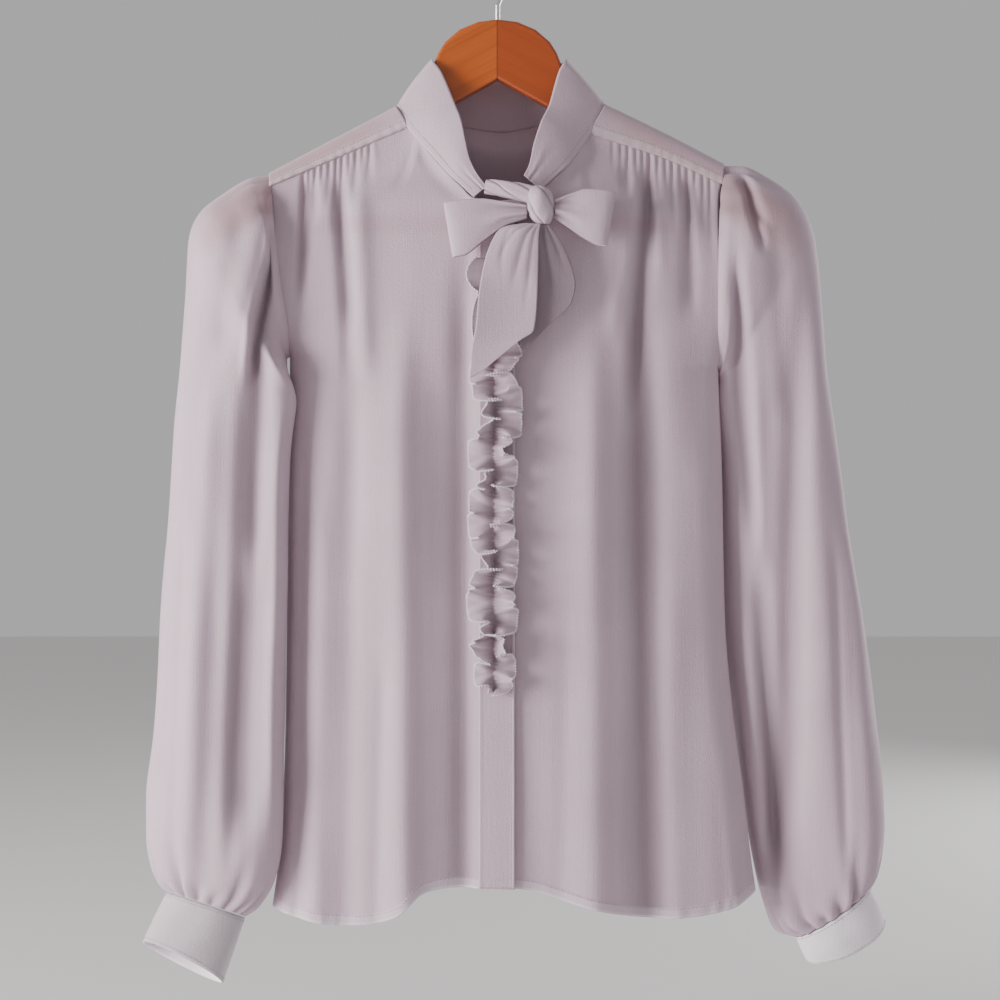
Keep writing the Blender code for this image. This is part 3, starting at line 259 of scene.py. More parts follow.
# Collar band: lower edge on the neckline, upper edge free.
# t, lower x, lower z, lower y, upper x, upper z, upper y, bulge
COLLAR = (
    (0.00, -14.8, -193.7, -31.5, -7.6, -187.9, -33.0, 0.0),
    (0.06, -24.8, -184.3, -29.5, -13.7, -180.0, -32.0, 0.6),
    (0.12, -32.0, -177.1, -26.5, -20.2, -167.0, -30.0, 1.2),
    (0.19, -47.2, -159.8, -20.5, -26.3, -139.0, -26.5, 1.8),
    (0.26, -63.7, -140.4, -12.5, -32.0, -123.1, -19.5, 2.4),
    (0.31, -72.4, -126.0, -4.0, -42.1, -99.4, -10.5, 1.8),
    (0.325, -73.1, -124.9, -1.5, -46.8, -93.2, -7.8, 1.4),
    (0.34, -73.1, -123.8, 2.0, -47.9, -90.4, 0.0, 1.0),
    (0.38, -68.0, -133.6, 12.2, -43.6, -91.4, 11.0, 0.6),
    (0.44, -41.4, -132.1, 22.0, -25.6, -95.0, 20.5, 0.4),
    (0.52, 3.2, -136.8, 27.5, 1.8, -97.2, 24.5, 0.4),
    (0.60, 46.4, -131.0, 22.0, 29.2, -95.0, 20.5, 0.4),
    (0.65, 71.6, -132.5, 12.2, 45.7, -92.2, 11.0, 0.6),
    (0.68, 78.1, -122.8, 2.0, 50.0, -90.7, 0.0, 1.0),
    (0.70, 77.8, -124.6, -1.5, 48.6, -93.6, -7.8, 1.4),
    (0.72, 76.0, -127.4, -5.0, 45.0, -100.1, -10.5, 1.8),
    (0.77, 65.9, -145.4, -13.0, 37.1, -127.4, -19.5, 2.4),
    (0.83, 57.2, -158.4, -20.5, 31.8, -139.0, -26.0, 1.8),
    (0.90, 47.9, -170.6, -26.5, 26.3, -156.2, -31.0, 1.2),
    (0.96, 34.9, -182.9, -30.0, 22.7, -172.1, -33.0, 0.6),
    (1.00, 29.2, -188.6, -31.5, 19.1, -180.0, -34.0, 0.0),
)
NECK_SQUEEZE = 2.2

# Bow. The twist runs from the band to the knot.
# x, y, z
TWIST = (
    (-8.3, -37.3, -188.6), (1.1, -40.0, -190.1), (10.4, -42.5, -191.9), (26.0, -44.6, -196.0),
)
TWIST_RADII = (3.6, 4.6)
# The knot. z, centre x, half width, half depth
KNOT = (
    (-189.4, 29.2, 3.0, 3.0), (-192.2, 29.5, 6.8, 6.0), (-198.0, 30.2, 8.6, 7.6),
    (-205.9, 31.3, 8.6, 7.6), (-212.4, 32.0, 6.6, 6.0), (-216.0, 32.8, 3.4, 3.2),
)
KNOT_Y = -43.6
# Loops, from the knot outwards. s, x, z of upper edge, z of lower edge
LOOP_RIGHT = (
    (0.00, 20.7, -203.0, -212.4), (0.18, 6.8, -200.9, -216.7), (0.45, -11.2, -198.4, -228.2),
    (0.75, -27.0, -199.4, -238.3), (1.00, -38.2, -201.2, -239.8),
)
LOOP_LEFT = (
    (0.00, 41.2, -199.4, -212.4), (0.18, 52.2, -194.8, -219.6), (0.45, 63.7, -191.5, -226.4),
    (0.75, 76.0, -192.2, -231.1), (1.00, 84.2, -193.3, -231.8),
)
LOOP_Y = -43.6
LOOP_OPEN = 5.2
LOOP_PINCH = 1.3
# Tie ends. v, x of left edge, x of right edge, z left, z right, y left, y right, hollow
TIE_FRONT = (
    (0.00, 18.4, 30.6, -216.4, -216.4, -47.9, -47.7, -0.4),
    (0.15, 3.2, 29.2, -219.6, -226.8, -49.0, -49.0, -2.0),
    (0.35, -8.3, 28.9, -240.5, -247.7, -50.5, -49.5, -1.5),
    (0.58, -13.3, 28.3, -266.4, -269.3, -52.0, -50.0, 1.2),
    (0.78, -15.5, 25.9, -290.9, -292.3, -53.5, -51.5, 1.2),
    (0.88, -18.7, 15.5, -309.6, -300.2, -54.0, -53.0, 0.4),
    (1.00, -19.1, -11.9, -326.9, -322.6, -54.0, -53.5, 0.0),
)
TIE_BACK = (
    (0.00, 29.9, 36.4, -216.6, -216.6, -45.6, -45.4, -0.2),
    (0.25, 22.0, 46.4, -233.3, -231.1, -46.6, -44.0, -0.6),
    (0.50, 16.2, 55.8, -258.5, -259.9, -46.5, -43.5, 1.2),
    (0.64, 16.2, 52.9, -273.6, -272.2, -47.0, -44.0, 1.4),
    (0.82, 16.2, 34.9, -292.3, -290.2, -47.5, -45.0, 0.8),
    (1.00, 16.9, 21.2, -306.7, -305.3, -48.0, -47.0, 0.0),
)

# Ruffle: middle line and the outward lobes of each wing.
# lobe side, z from, z to, reach
LOBES = (
    (1, -241.9, -269.3, 15.0), (1, -273.6, -295.2, 17.0), (1, -298.1, -319.7, 20.0),
    (1, -323.3, -375.1, 20.5), (1, -377.3, -403.2, 17.0), (1, -406.1, -427.7, 14.5),
    (1, -431.3, -475.9, 17.5), (1, -478.1, -508.3, 17.5), (1, -521.3, -550.1, 15.5),
    (-1, -239.0, -263.5, 20.0), (-1, -267.8, -305.3, 16.0), (-1, -309.6, -340.6, 17.5),
    (-1, -362.9, -394.6, 18.5), (-1, -399.6, -452.2, 18.5), (-1, -464.4, -503.3, 19.5),
    (-1, -508.3, -524.9, 18.5), (-1, -527.0, -549.4, 14.0),
)
RUFFLE_TOP = -239.8
RUFFLE_END = -550.8
RUFFLE_MIDDLE_X = -2.5
RUFFLE_FOOT = 1.6
RUFFLE_LOW_Z = -305.3
RUFFLE_SHUT_WIDTH = 12.5
RUFFLE_SHUT_ANGLE = 78.0
RUFFLE_OPEN_ANGLE = 12.0
RUFFLE_TUCKED_ANGLE = 20.0
RUFFLE_CURL = 1.3
# Long drapes seen on the fronts and the like on the back, beside the broad folds.
# x at top, z at top, x at bottom, z at bottom, half width, depth
FRONT_DRAPES = (
    (-68.8, -258.0, -65.9, -726.5, 11.0, -4.6), (-25.6, -225.0, -24.1, -726.5, 8.5, 4.6),
    (-106.2, -300.0, -110.5, -726.5, 9.0, 2.6), (-126.4, -380.0, -132.1, -726.5, 8.0, -2.4),
    (-140.0, -330.0, -145.8, -726.5, 5.0, 1.8), (-81.7, -520.0, -87.5, -726.5, 5.0, 1.3),
    (69.5, -250.0, 70.9, -726.5, 11.0, -3.4), (105.5, -240.0, 114.1, -726.5, 9.5, 5.0),
    (158.0, -300.0, 176.0, -726.5, 8.5, -4.4), (49.3, -480.0, 46.4, -726.5, 6.0, 1.2),
    (-113.4, -172.0, -107.6, -330.0, 5.0, 2.4), (-100.4, -180.0, -94.7, -330.0, 6.5, -2.4),
    (-137.9, -172.0, -144.4, -290.0, 4.5, 2.2), (109.8, -168.0, 98.3, -330.0, 5.5, 2.8),
    (94.0, -180.0, 82.4, -300.0, 6.0, -2.2), (138.6, -172.0, 141.5, -280.0, 4.5, 2.0),
)
BACK_DRAPES = (
    (-136.0, -260.0, -142.0, -726.5, 8.0, 2.0), (-98.0, -230.0, -102.0, -726.5, 9.0, 2.6),
    (-50.0, -300.0, -54.0, -726.5, 9.0, -2.2), (-4.0, -250.0, 0.0, -726.5, 8.0, 2.4),
    (26.0, -320.0, 30.0, -726.5, 8.0, -1.8), (78.0, -240.0, 84.0, -726.5, 9.0, -2.6),
    (122.0, -260.0, 134.0, -726.5, 8.0, 2.4),
)
# Short gathers under the yoke seams, uneven as sewn by hand, and how far the scene
# deepens and lengthens them. x, half width, length, depth
CREASE_DEPTH = 1.15
CREASE_LENGTH = 1.2
CREASES_RIGHT = (
    (-141.5, 1.6, 62, 1.5), (-137.2, 1.3, 30, 1.1), (-132.8, 1.5, 48, 1.3), (-127.8, 1.2, 24, 1.0),
    (-122.8, 1.5, 36, 1.2), (-117.7, 1.4, 70, 1.5), (-113.4, 1.7, 92, 1.9), (-108.4, 1.3, 30, 1.1),
    (-103.3, 1.5, 44, 1.2), (-98.3, 1.2, 22, 0.9), (-93.2, 1.4, 34, 1.0),
)
CREASES_LEFT = (
    (83.9, 1.3, 26, 0.9), (89.6, 1.5, 40, 1.1), (94.7, 1.6, 66, 1.5), (100.4, 1.3, 30, 1.1),
    (105.5, 1.4, 44, 1.2), (110.5, 1.9, 110, 2.1), (116.3, 1.4, 52, 1.3), (122.0, 1.2, 28, 1.0),
    (127.1, 1.5, 60, 1.4), (132.8, 1.3, 34, 1.1), (137.9, 1.6, 74, 1.5), (143.6, 1.3, 30, 1.0),
    (149.4, 1.4, 46, 1.2), (154.4, 1.5, 58, 1.3),
)


def smooth(a, b, x):
    """Ease from 0 at a to 1 at b."""
    t = np.clip((x - a) / (b - a), 0.0, 1.0)
    return t * t * (3.0 - 2.0 * t)


def curve(xs, ys):
    """A smooth line through rising xs that doesn't overshoot."""
    xs = np.array(xs, float)
    ys = np.array(ys, float)
    steps = np.diff(ys) / np.diff(xs)
    slopes = np.zeros(len(xs))
    slopes[0], slopes[-1] = steps[0], steps[-1]
    for i in range(1, len(xs) - 1):
        if steps[i - 1] * steps[i] > 0:
            slopes[i] = 2.0 * steps[i - 1] * steps[i] / (steps[i - 1] + steps[i])

    def at(x):
        x = np.clip(x, xs[0], xs[-1])
        i = np.clip(np.searchsorted(xs, x) - 1, 0, len(xs) - 2)
        h = xs[i + 1] - xs[i]
        t = (x - xs[i]) / h
        a = (1 + 2 * t) * (1 - t) ** 2 * ys[i] + t * (1 - t) ** 2 * h * slopes[i]
        b = t * t * (3 - 2 * t) * ys[i + 1] + t * t * (t - 1) * h * slopes[i + 1]
        return a + b

    return at


def columns(rows, key=0):
    """Smooth functions of one column for all the others, in order."""
    rows = sorted(rows, key=lambda r: r[key])
    keys = [r[key] for r in rows]
    return [curve(keys, [r[i] for r in rows]) for i in range(len(rows[0])) if i != key]


def stations(rows):
    """Smooth functions of 0 to 1 along a table for every column."""
    keys = [i / (len(rows) - 1) for i in range(len(rows))]
    return [curve(keys, [r[i] for r in rows]) for i in range(len(rows[0]))]


def signed_power(value, power):
    """A power that keeps the sign."""
    return np.sign(value) * np.abs(value) ** power


body_right_x, body_left_x, depth_front, depth_back = columns(BODY)
hem_front = columns(HEM)[0]
hem_back = columns(HEM_BACK)[0]


def arm_depth(side, z):
    """Half depth of the armhole at a height, and none below it."""
    top_x, top_z, low_x, low_z, depth = ARMHOLES[side]
    s = np.minimum(1.0, np.abs(z - (top_z + low_z) / 2) / ((top_z - low_z) / 2))
    full = np.maximum(EDGE_GAP, depth * (1.0 - s ** ARM_POWER) ** (1.0 / ARM_POWER))
    return np.where(z < low_z, EDGE_GAP, full)


def fold_shift(folds, x, z):
    """How far the folds of a panel push it inwards at a place."""
    total = np.zeros(np.broadcast(x, z).shape)
    for x0, z0, x1, z1, width, depth in folds:
        t = (z - z0) / (z1 - z0)
        fade = smooth(-0.02, 0.18, t) * (1.0 - smooth(0.80, 1.06, t) * (z1 > HEM_Z))
        total = total + depth * fade * np.exp(-((x - x0 - (x1 - x0) * t) / width) ** 2)
    return total


def body_y(x, z, face):
    """How far forward the body is at a place, in front (-1) or behind (1)."""
    left = body_right_x(z)
    right = body_left_x(z)
    s = np.clip((2.0 * x - left - right) / (right - left), -1.0, 1.0)
    bulge = np.maximum(0.0, 1.0 - np.abs(s) ** BODY_POWER) ** (1.0 / BODY_POWER)
    edge = np.where(s > 0, arm_depth(1, z), arm_depth(-1, z))
    deep = (depth_front if face < 0 else depth_back)(z)
    return face * (edge * (1.0 - bulge) ** 2 + deep * bulge)


def lap_shift(x):
    """The front that laps over the other stands a little forward of it."""
    return -LAP_SHIFT * smooth(LAP_START_X, LAP_LEFT_X, x)


def crease_shift(creases, x, down):
    """Gathers that start at the seam and fade down the cloth."""
    total = np.zeros(np.broadcast(x, down).shape)
    for place, width, length, depth in creases:
        depth = CREASE_DEPTH * depth
        length = CREASE_LENGTH * length
        wide = width * (1.0 + 1.4 * down / length)
        fade = 1.0 - smooth(0.15, 1.0, down / length)
        total = total + depth * fade * np.exp(-((x - place) / wide) ** 2)
        ridge = np.exp(-((x - place - 2.1 * wide) / (1.2 * wide)) ** 2)
        total = total - 0.55 * depth * fade * ridge
    return total


def ripple(a, b, seeds):
    """Quiet unevenness of hanging cloth. seeds rows are wave a, wave b, phase, height."""
    total = 0.0
    for wave_a, wave_b, phase, height in seeds:
        total = total + height * np.sin(a * wave_a + phase + 1.3 * np.sin(b * wave_b + phase * 1.7))
    return total


PANEL_RIPPLES = (
    (0.085, 0.021, 0.4, 0.45), (0.171, 0.013, 2.1, 0.22), (0.046, 0.034, 4.0, 0.50),
)


def panel(top, hem, side, face, folds, drapes, creases, us, vs):
    """Points of a front or back, the painted shade of its hollows, and its pale hem edge."""
    top_x, top_z, top_y = columns(top)
    u, v = np.meshgrid(us, vs)
    x0, z0 = top_x(u), top_z(u)
    if side == 0:
        angle = math.pi * u
    else:
        angle = math.pi * (0.5 * u if side < 0 else 0.5 + 0.5 * u)
    across = 0.5 - 0.5 * signed_power(np.cos(angle), 0.85)

    def place(z):
        low, high = body_right_x(z), body_left_x(z)
        if side < 0:
            return low + (LAP_RIGHT_X - low) * 2.0 * across
        if side > 0:
            return LAP_LEFT_X + (high - LAP_LEFT_X) * (2.0 * across - 1.0)
        return low + (high - low) * across

    z1 = hem(place(HEM_Z))
    z = z0 + (z1 - z0) * v
    x = place(z) + (x0 - place(z0)) * (1.0 - smooth(0.0, 0.22, v))
    down = z0 - z
    fall = np.where(np.abs(x0) < NECK_X, NECK_FALL, TOP_FALL)
    blend = smooth(0.0, 1.0, down / fall)
    y = top_y(u) * (1.0 - blend) + body_y(x, z, face) * blend
    inside = np.minimum(x - body_right_x(z), body_left_x(z) - x)
    calm = smooth(0.0, SIDE_CALM, inside)
    hollow = (fold_shift(folds, x, z) + fold_shift(drapes, x, z)) * smooth(0.0, 14.0, down) * calm
    fine = crease_shift(creases, x, down) * smooth(-1.0, 4.0, down)
    wave = ripple(x, z, PANEL_RIPPLES) * calm * smooth(10.0, 90.0, down)
    turned = smooth(8.2, 6.6, z - z1) * 0.45
    pucker = np.sin(x * 0.62 + 2.2 * np.sin(x * 0.11)) * 0.22 * smooth(11.0, 4.0, z - z1)
    y = y - face * (hollow + fine + wave) + face * (turned + pucker)
    if side < 0:
        y = y + lap_shift(x)
    # tone is painted shade, darker in the hollows of the folds, gathers and ripples.
    tone = hollow / 6.0 + fine * 0.16 + wave * 0.05
    # pale is a painted highlight along the rolled hem edge, over a paler band where the hem is turned up
    # double.
    pale = np.exp(-((z - z1 - 0.6) / 0.9) ** 2) * 0.55 + 0.26 * smooth(7.4, 6.6, z - z1)
    return np.stack((x, y, z), -1), tone, pale


def yoke(rows, us, vs):
    """Points of a shoulder strip over its ridge, and the painted highlight on its rolled edge."""
    ridge_x, ridge_z, front_x, front_z, back_x, back_z, half = columns(rows)
    u, v = np.meshgrid(us, vs)
    turn = -0.5 * math.pi + math.pi * u
    rise = np.maximum(0.0, np.cos(turn)) ** 0.75
    sx = np.where(u < 0.5, front_x(v), back_x(v))
    sz = np.where(u < 0.5, front_z(v), back_z(v))
    x = sx + (ridge_x(v) - sx) * rise
    z = sz + (ridge_z(v) - sz) * rise
    y = half(v) * np.sin(turn)
    lap = smooth(0.07, 0.0, np.minimum(u, 1.0 - u))
    rolled = np.exp(-((np.minimum(u, 1.0 - u) - 0.03) / 0.03) ** 2)
    y = y + np.sign(u - 0.5) * (0.75 * lap + 0.35 * rolled)
    wave = 0.22 * np.sin(v * 74.0 + 2.0 * np.sin(v * 13.0)) * lap
    # Painted highlight on the rolled front edge.
    pale = 0.30 * rolled * (u < 0.5)
    return np.stack((x, y + wave, z - 2.4 * lap), -1), pale


def ring_frame(cols, v):
    """Middle, reach, forward direction and half depths of a ring."""
    ox, oz, ix, iz, oy, iy, front, back, slope = [c(v) for c in cols]
    outer = np.stack((ox, oy, oz), -1)
    inner = np.stack((ix, iy, iz), -1)
    tilt = np.radians(slope)
    forward = np.stack((np.zeros_like(tilt), -np.cos(tilt), np.sin(tilt)), -1)
    return (outer + inner) / 2, (outer - inner) / 2, forward, front, back


# Sleeve gathers at the cuff, uneven. place round the ring, half width, length up, depth
CUFF_CREASES = (
    (0.012, 0.010, 0.12, 2.0), (0.061, 0.012, 0.19, 2.8), (0.118, 0.010, 0.10, 1.9),
    (0.170, 0.012, 0.24, 3.0), (0.228, 0.011, 0.13, 2.3), (0.276, 0.010, 0.09, 1.8),
    (0.335, 0.012, 0.21, 2.9), (0.391, 0.010, 0.12, 2.1), (0.440, 0.012, 0.16, 2.5),
    (0.502, 0.010, 0.10, 1.9), (0.556, 0.012, 0.20, 2.7), (0.611, 0.010, 0.11, 2.0),
    (0.668, 0.012, 0.17, 2.6), (0.717, 0.010, 0.10, 1.8), (0.778, 0.012, 0.22, 2.8),
    (0.832, 0.010, 0.12, 2.1), (0.889, 0.012, 0.15, 2.4), (0.945, 0.010, 0.10, 1.9),
)
# Gathers of the sleeve head. place round the ring, half width, length down, depth
HEAD_CREASES = (
    (-0.180, 0.012, 0.10, 1.0), (-0.120, 0.010, 0.16, 1.5), (-0.070, 0.009, 0.10, 1.1),
    (-0.030, 0.010, 0.19, 1.7), (0.015, 0.009, 0.12, 1.2), (0.060, 0.011, 0.24, 2.2),
    (0.110, 0.010, 0.13, 1.4), (0.155, 0.012, 0.20, 1.9), (0.205, 0.011, 0.10, 1.1),
)
# Narrow drapes along the sleeves. ring side, x at top, z at top, x at bottom, z at bottom,
# half width, depth
SLEEVE_DRAPES = {
    -1: (
        (1, -207.0, -300.0, -221.4, -690.0, 10.0, -3.4),
        (1, -179.6, -300.0, -192.6, -690.0, 6.0, 4.0),
        (1, -155.9, -330.0, -162.4, -660.0, 5.5, -4.6),
        (1, -224.3, -420.0, -234.4, -690.0, 5.0, 1.8),
        (1, -164.5, -208.0, -176.8, -330.0, 2.6, 6.0),
        (1, -169.6, -205.0, -182.5, -330.0, 3.2, -3.2),
        (-1, -203.4, -300.0, -207.0, -690.0, 9.0, 3.0),
        (-1, -178.2, -330.0, -179.6, -680.0, 7.0, -3.0),
    ),
    1: (
        (1, 185.4, -270.0, 190.4, -700.0, 8.0, -5.4), (1, 220.0, -240.0, 207.7, -690.0, 10.0, 6.4),
        (1, 255.2, -250.0, 269.6, -690.0, 9.0, -4.6), (1, 242.3, -430.0, 253.8, -700.0, 4.0, 2.0),
        (1, 176.0, -170.0, 192.6, -235.0, 3.4, 4.6), (-1, 203.4, -300.0, 214.2, -700.0, 8.0, 3.0),
        (-1, 232.2, -330.0, 246.6, -690.0, 7.0, -3.0),
    ),
}
SLEEVE_RIPPLES = (
    (0.11, 0.018, 1.1, 0.55), (0.19, 0.027, 3.2, 0.25), (0.06, 0.041, 5.1, 0.45),
)


def wrapped(a):
    """The nearest way round a ring, from -0.5 to 0.5."""
    return (a + 0.5) % 1.0 - 0.5


def sleeve(rows, folds, side, us, vs):
    """Points of a sleeve and the painted shade of its hollows. u = 0 is the outer edge, 0.25 the front."""
    cols = stations(rows)
    flap_top, flap_full, flap_low, flap_x, flap_y = HEAD_FLAP[side]
    u, v = np.meshgrid(us, vs)
    middle, reach, forward, front, back = ring_frame(cols, v)
    turn = 2.0 * math.pi * u
    c = signed_power(np.cos(turn), 2.0 / ARM_POWER)
    s = signed_power(np.sin(turn), 2.0 / ARM_POWER)
    depth = np.where(s > 0, front, back)
    p = middle + reach * c[..., None] + forward * (depth * s)[..., None]
    ring_side = np.where(s > 0, 1, -1)
    weight = smooth(0.0, 0.55, np.abs(s)) * smooth(0.0, FOLD_FADE[0], v)
    weight = weight * (1.0 - smooth(FOLD_FADE[1], 1.0, v))
    hollow = np.zeros(u.shape)
    for which, x0, z0, x1, z1, width, deep in folds + SLEEVE_DRAPES[side]:
        t = (p[..., 2] - z0) / (z1 - z0)
        fade = smooth(-0.02, 0.2, t) * (1.0 - smooth(0.8, 1.05, t)) * (ring_side == which)
        hollow = hollow + deep * fade * np.exp(-((p[..., 0] - x0 - (x1 - x0) * t) / width) ** 2)
    hollow = hollow * weight
    p = p - forward * (ring_side * hollow)[..., None]
    z = p[..., 2]
    up = np.where(z > flap_full, smooth(flap_top, flap_full, z),
                  1.0 - smooth(flap_full, flap_low, z))
    grow = (1.0 - smooth(*FLAP_END, v)) * up * smooth(0.0, 0.6, s) * (s > 0)
    p[..., 0] += smooth(0.02, 0.09, v) * flap_x * grow
    p[..., 1] -= smooth(0.0, 0.045, v) * flap_y * grow
    near = 1.0 - smooth(0.0, HEAD_BLEND, v)
    edge = (body_right_x if side < 0 else body_left_x)(p[..., 2]) + side * ARM_SHIFT
    p[..., 0] += (edge - p[..., 0]) * near
    under = np.exp(-((p[..., 2] - UNDERARM_Z) / UNDERARM_REACH) ** 2)
    under = under * smooth(0.2, 0.9, -c) * smooth(0.03, 0.12, v)
    p[..., 0] -= side * UNDERARM_SHIFT[0] * under
    p[..., 1] -= UNDERARM_SHIFT[1] * under
    away = p - middle
    away = away / np.maximum(1e-6, np.linalg.norm(away, axis=-1))[..., None]
    fine = np.zeros(u.shape)
    for place, width, length, deep in CUFF_CREASES:
        start = (1.0 - v) / length
        fade = (1.0 - smooth(0.2, 1.0, start)) * (0.55 + 0.45 * smooth(0.0, 0.03, 1.0 - v))
        wide = width * (1.0 + 1.1 * start)
        fine = fine + 1.4 * deep * fade * np.exp(-(wrapped(u - place) / wide) ** 2)
        ridge = np.exp(-(wrapped(u - place - 0.026) / (wide * 1.2)) ** 2)
        fine = fine - 0.6 * deep * fade * ridge
    for place, width, length, deep in HEAD_CREASES:
        fade = (1.0 - smooth(0.1, 1.0, v / length)) * smooth(0.0, 0.012, v)
        wide = width * (1.0 + 1.3 * v / length)
        fine = fine + deep * fade * np.exp(-(wrapped(u - place) / wide) ** 2)
    wave = ripple(p[..., 0] + 40 * s, p[..., 2], SLEEVE_RIPPLES)
    wave = wave * smooth(0.05, 0.25, v) * (1.0 - smooth(0.9, 1.0, v))
    p = p - away * (fine + wave)[..., None]
    # tone is painted shade in the fold hollows, the gathers and the ripples.
    tone = hollow / 9.0 + fine * 0.17 + wave * 0.04
    return p, tone


def cuff(rows, us, vs):
    """Points of a cuff, slightly uneven as doubled cloth is."""
    cols = stations(rows)
    u, v = np.meshgrid(us, vs)
    middle, reach, forward, front, back = ring_frame(cols, v)
    turn = 2.0 * math.pi * u
    depth = np.where(np.sin(turn) > 0, front, back)
    p = middle + reach * np.cos(turn)[..., None] + forward * (depth * np.sin(turn))[..., None]
    away = p - middle
    away = away / np.linalg.norm(away, axis=-1)[..., None]
    soft = 0.35 * np.sin(turn * 3 + 1.0) * np.sin(math.pi * v) + 0.18 * np.sin(turn * 7 + v * 3.0)
    return p + away * soft[..., None]


def away_from_neck(points):
    """Level directions out of the neck at each point of the collar."""
    out = points * np.array((1.0, NECK_SQUEEZE, 0.0))
    return out / np.maximum(1e-6, np.linalg.norm(out, axis=-1))[..., None]


def collar(us, vs):
    """Points of the collar band and the painted shade in its crease."""
    low_x, low_z, low_y, high_x, high_z, high_y, bulge = columns(COLLAR)
    u, v = np.meshgrid(us, vs)
    low = np.stack((low_x(u), low_y(u), low_z(u)), -1)
    high = np.stack((high_x(u), high_y(u), high_z(u)), -1)
    rise = high - low
    unit = rise / np.linalg.norm(rise, axis=-1)[..., None]
    p = low + rise * np.maximum(0.0, v)[..., None]
    p = p + unit * (np.minimum(0.0, v) * COLLAR_DEPTH)[..., None]
    out = away_from_neck(p)
    ends = np.minimum(smooth(0.0, 0.16, u), smooth(0.0, 0.16, 1.0 - u))
    crease = 0.8 * np.exp(-((v - 0.42 - 0.2 * (1 - ends)) / 0.10) ** 2) * (1.0 - ends)
    crease = crease - 0.6 * np.exp(-((v - 0.70) / 0.09) ** 2) * (1.0 - ends)
    soft = bulge(u) * np.sin(math.pi * v) - crease + 0.25 * np.sin(u * 61.0) * np.sin(math.pi * v)
    # The second value is painted shade in the crease.
    return p + out * soft[..., None], crease * 0.22


def loop(rows, us, vs):
    """Points of a bow loop, from its back layer round to its front, and its painted shade in the creases and
    near the knot.
    """
    along_x, high, low = columns(rows)
    u, v = np.meshgrid(us, vs)
    turn = 2.0 * math.pi * u
    s = 0.5 - 0.5 * np.cos(turn)
    slant = np.sign(rows[0][1] - rows[-1][1]) * LOOP_SLANT * (1.0 - v) * s ** 2
    top, bottom = high(s), low(s)
    spread_y = LOOP_OPEN * np.sin(turn) * (0.35 + 0.65 * s)
    belly = 1.0 - 0.35 * (2.0 * v - 1.0) ** 2
    y = LOOP_Y - LOOP_PINCH * np.cos(turn / 2) - spread_y * belly
    near = 1.0 - smooth(0.0, 0.62, s)
    crease = 1.5 * np.sin(math.pi * 3.0 * v + 0.5) * near * np.cos(turn / 2)
    fine = 0.6 * np.sin(math.pi * 7.0 * v + 2.0) * (1.0 - smooth(0.0, 0.38, s)) * np.cos(turn / 2)
    # Painted shade in the creases and near the knot.
    tone = (crease + fine) * 0.18 * np.sign(np.cos(turn / 2)) + 0.35 * (1.0 - smooth(0.0, 0.3, s))
    return np.stack((along_x(s) + slant, y + crease + fine, bottom + (top - bottom) * v), -1), tone


def tie(rows, us, vs, folds, shade):
    """Points of a hanging tie end and the painted shade of its creases and of its top under the knot."""
    cols = columns(rows)
    u, v = np.meshgrid(us, vs)
    x0, x1, z0, z1, y0, y1, hollow = [c(v) for c in cols]
    fine = 0.0
    for u0, u1, v0, v1, width, deep in folds:
        t = (v - v0) / (v1 - v0)
        fade = smooth(-0.05, 0.15, t) * (1.0 - smooth(0.6, 1.05, t))
        fine = fine + deep * fade * np.exp(-((u - u0 - (u1 - u0) * t) / width) ** 2)
    y = y0 + (y1 - y0) * u + hollow * np.sin(math.pi * u) + fine
    # Painted shade: shade darkens the whole end, the creases and the top under the knot darker still.
    tone = shade + fine * 0.22 + 0.5 * (1.0 - smooth(0.0, 0.16, v))
    return np.stack((x0 + (x1 - x0) * u, y, z0 + (z1 - z0) * u), -1), tone


def lap_y(x, z):
    """How far forward the lapping front lies along its edge."""
    top = columns(TOP_RIGHT)
    z0 = top[1](0.95)
    blend = smooth(0.0, 1.0, (z0 - z) / NECK_FALL)
    y = top[2](0.95) * (1.0 - blend) + body_y(x, z, -1) * blend
    return y + fold_shift(FRONT_FOLDS, x, z) * smooth(0.0, 14.0, z0 - z) + lap_shift(x)


def wing_open(side, z):
    """How open each wing of the ruffle is by height, with its reach and lobe."""
    opened = np.zeros(z.shape)
    reach = np.full(z.shape, 15.0)
    phase = np.zeros(z.shape)
    length = np.full(z.shape, 20.0)
    for which, z0, z1, far in LOBES:
        t = (z0 - z) / (z0 - z1)
        hit = (which == side) & (t >= 0.0) & (t <= 1.0)
        opened = np.where(hit, np.sin(math.pi * np.clip(t, 0, 1)) ** 0.7, opened)
        reach = np.where(hit, far, reach)
        phase = np.where(hit, t, phase)
        length = np.where(hit, z0 - z1, length)
    return opened, reach, phase, length


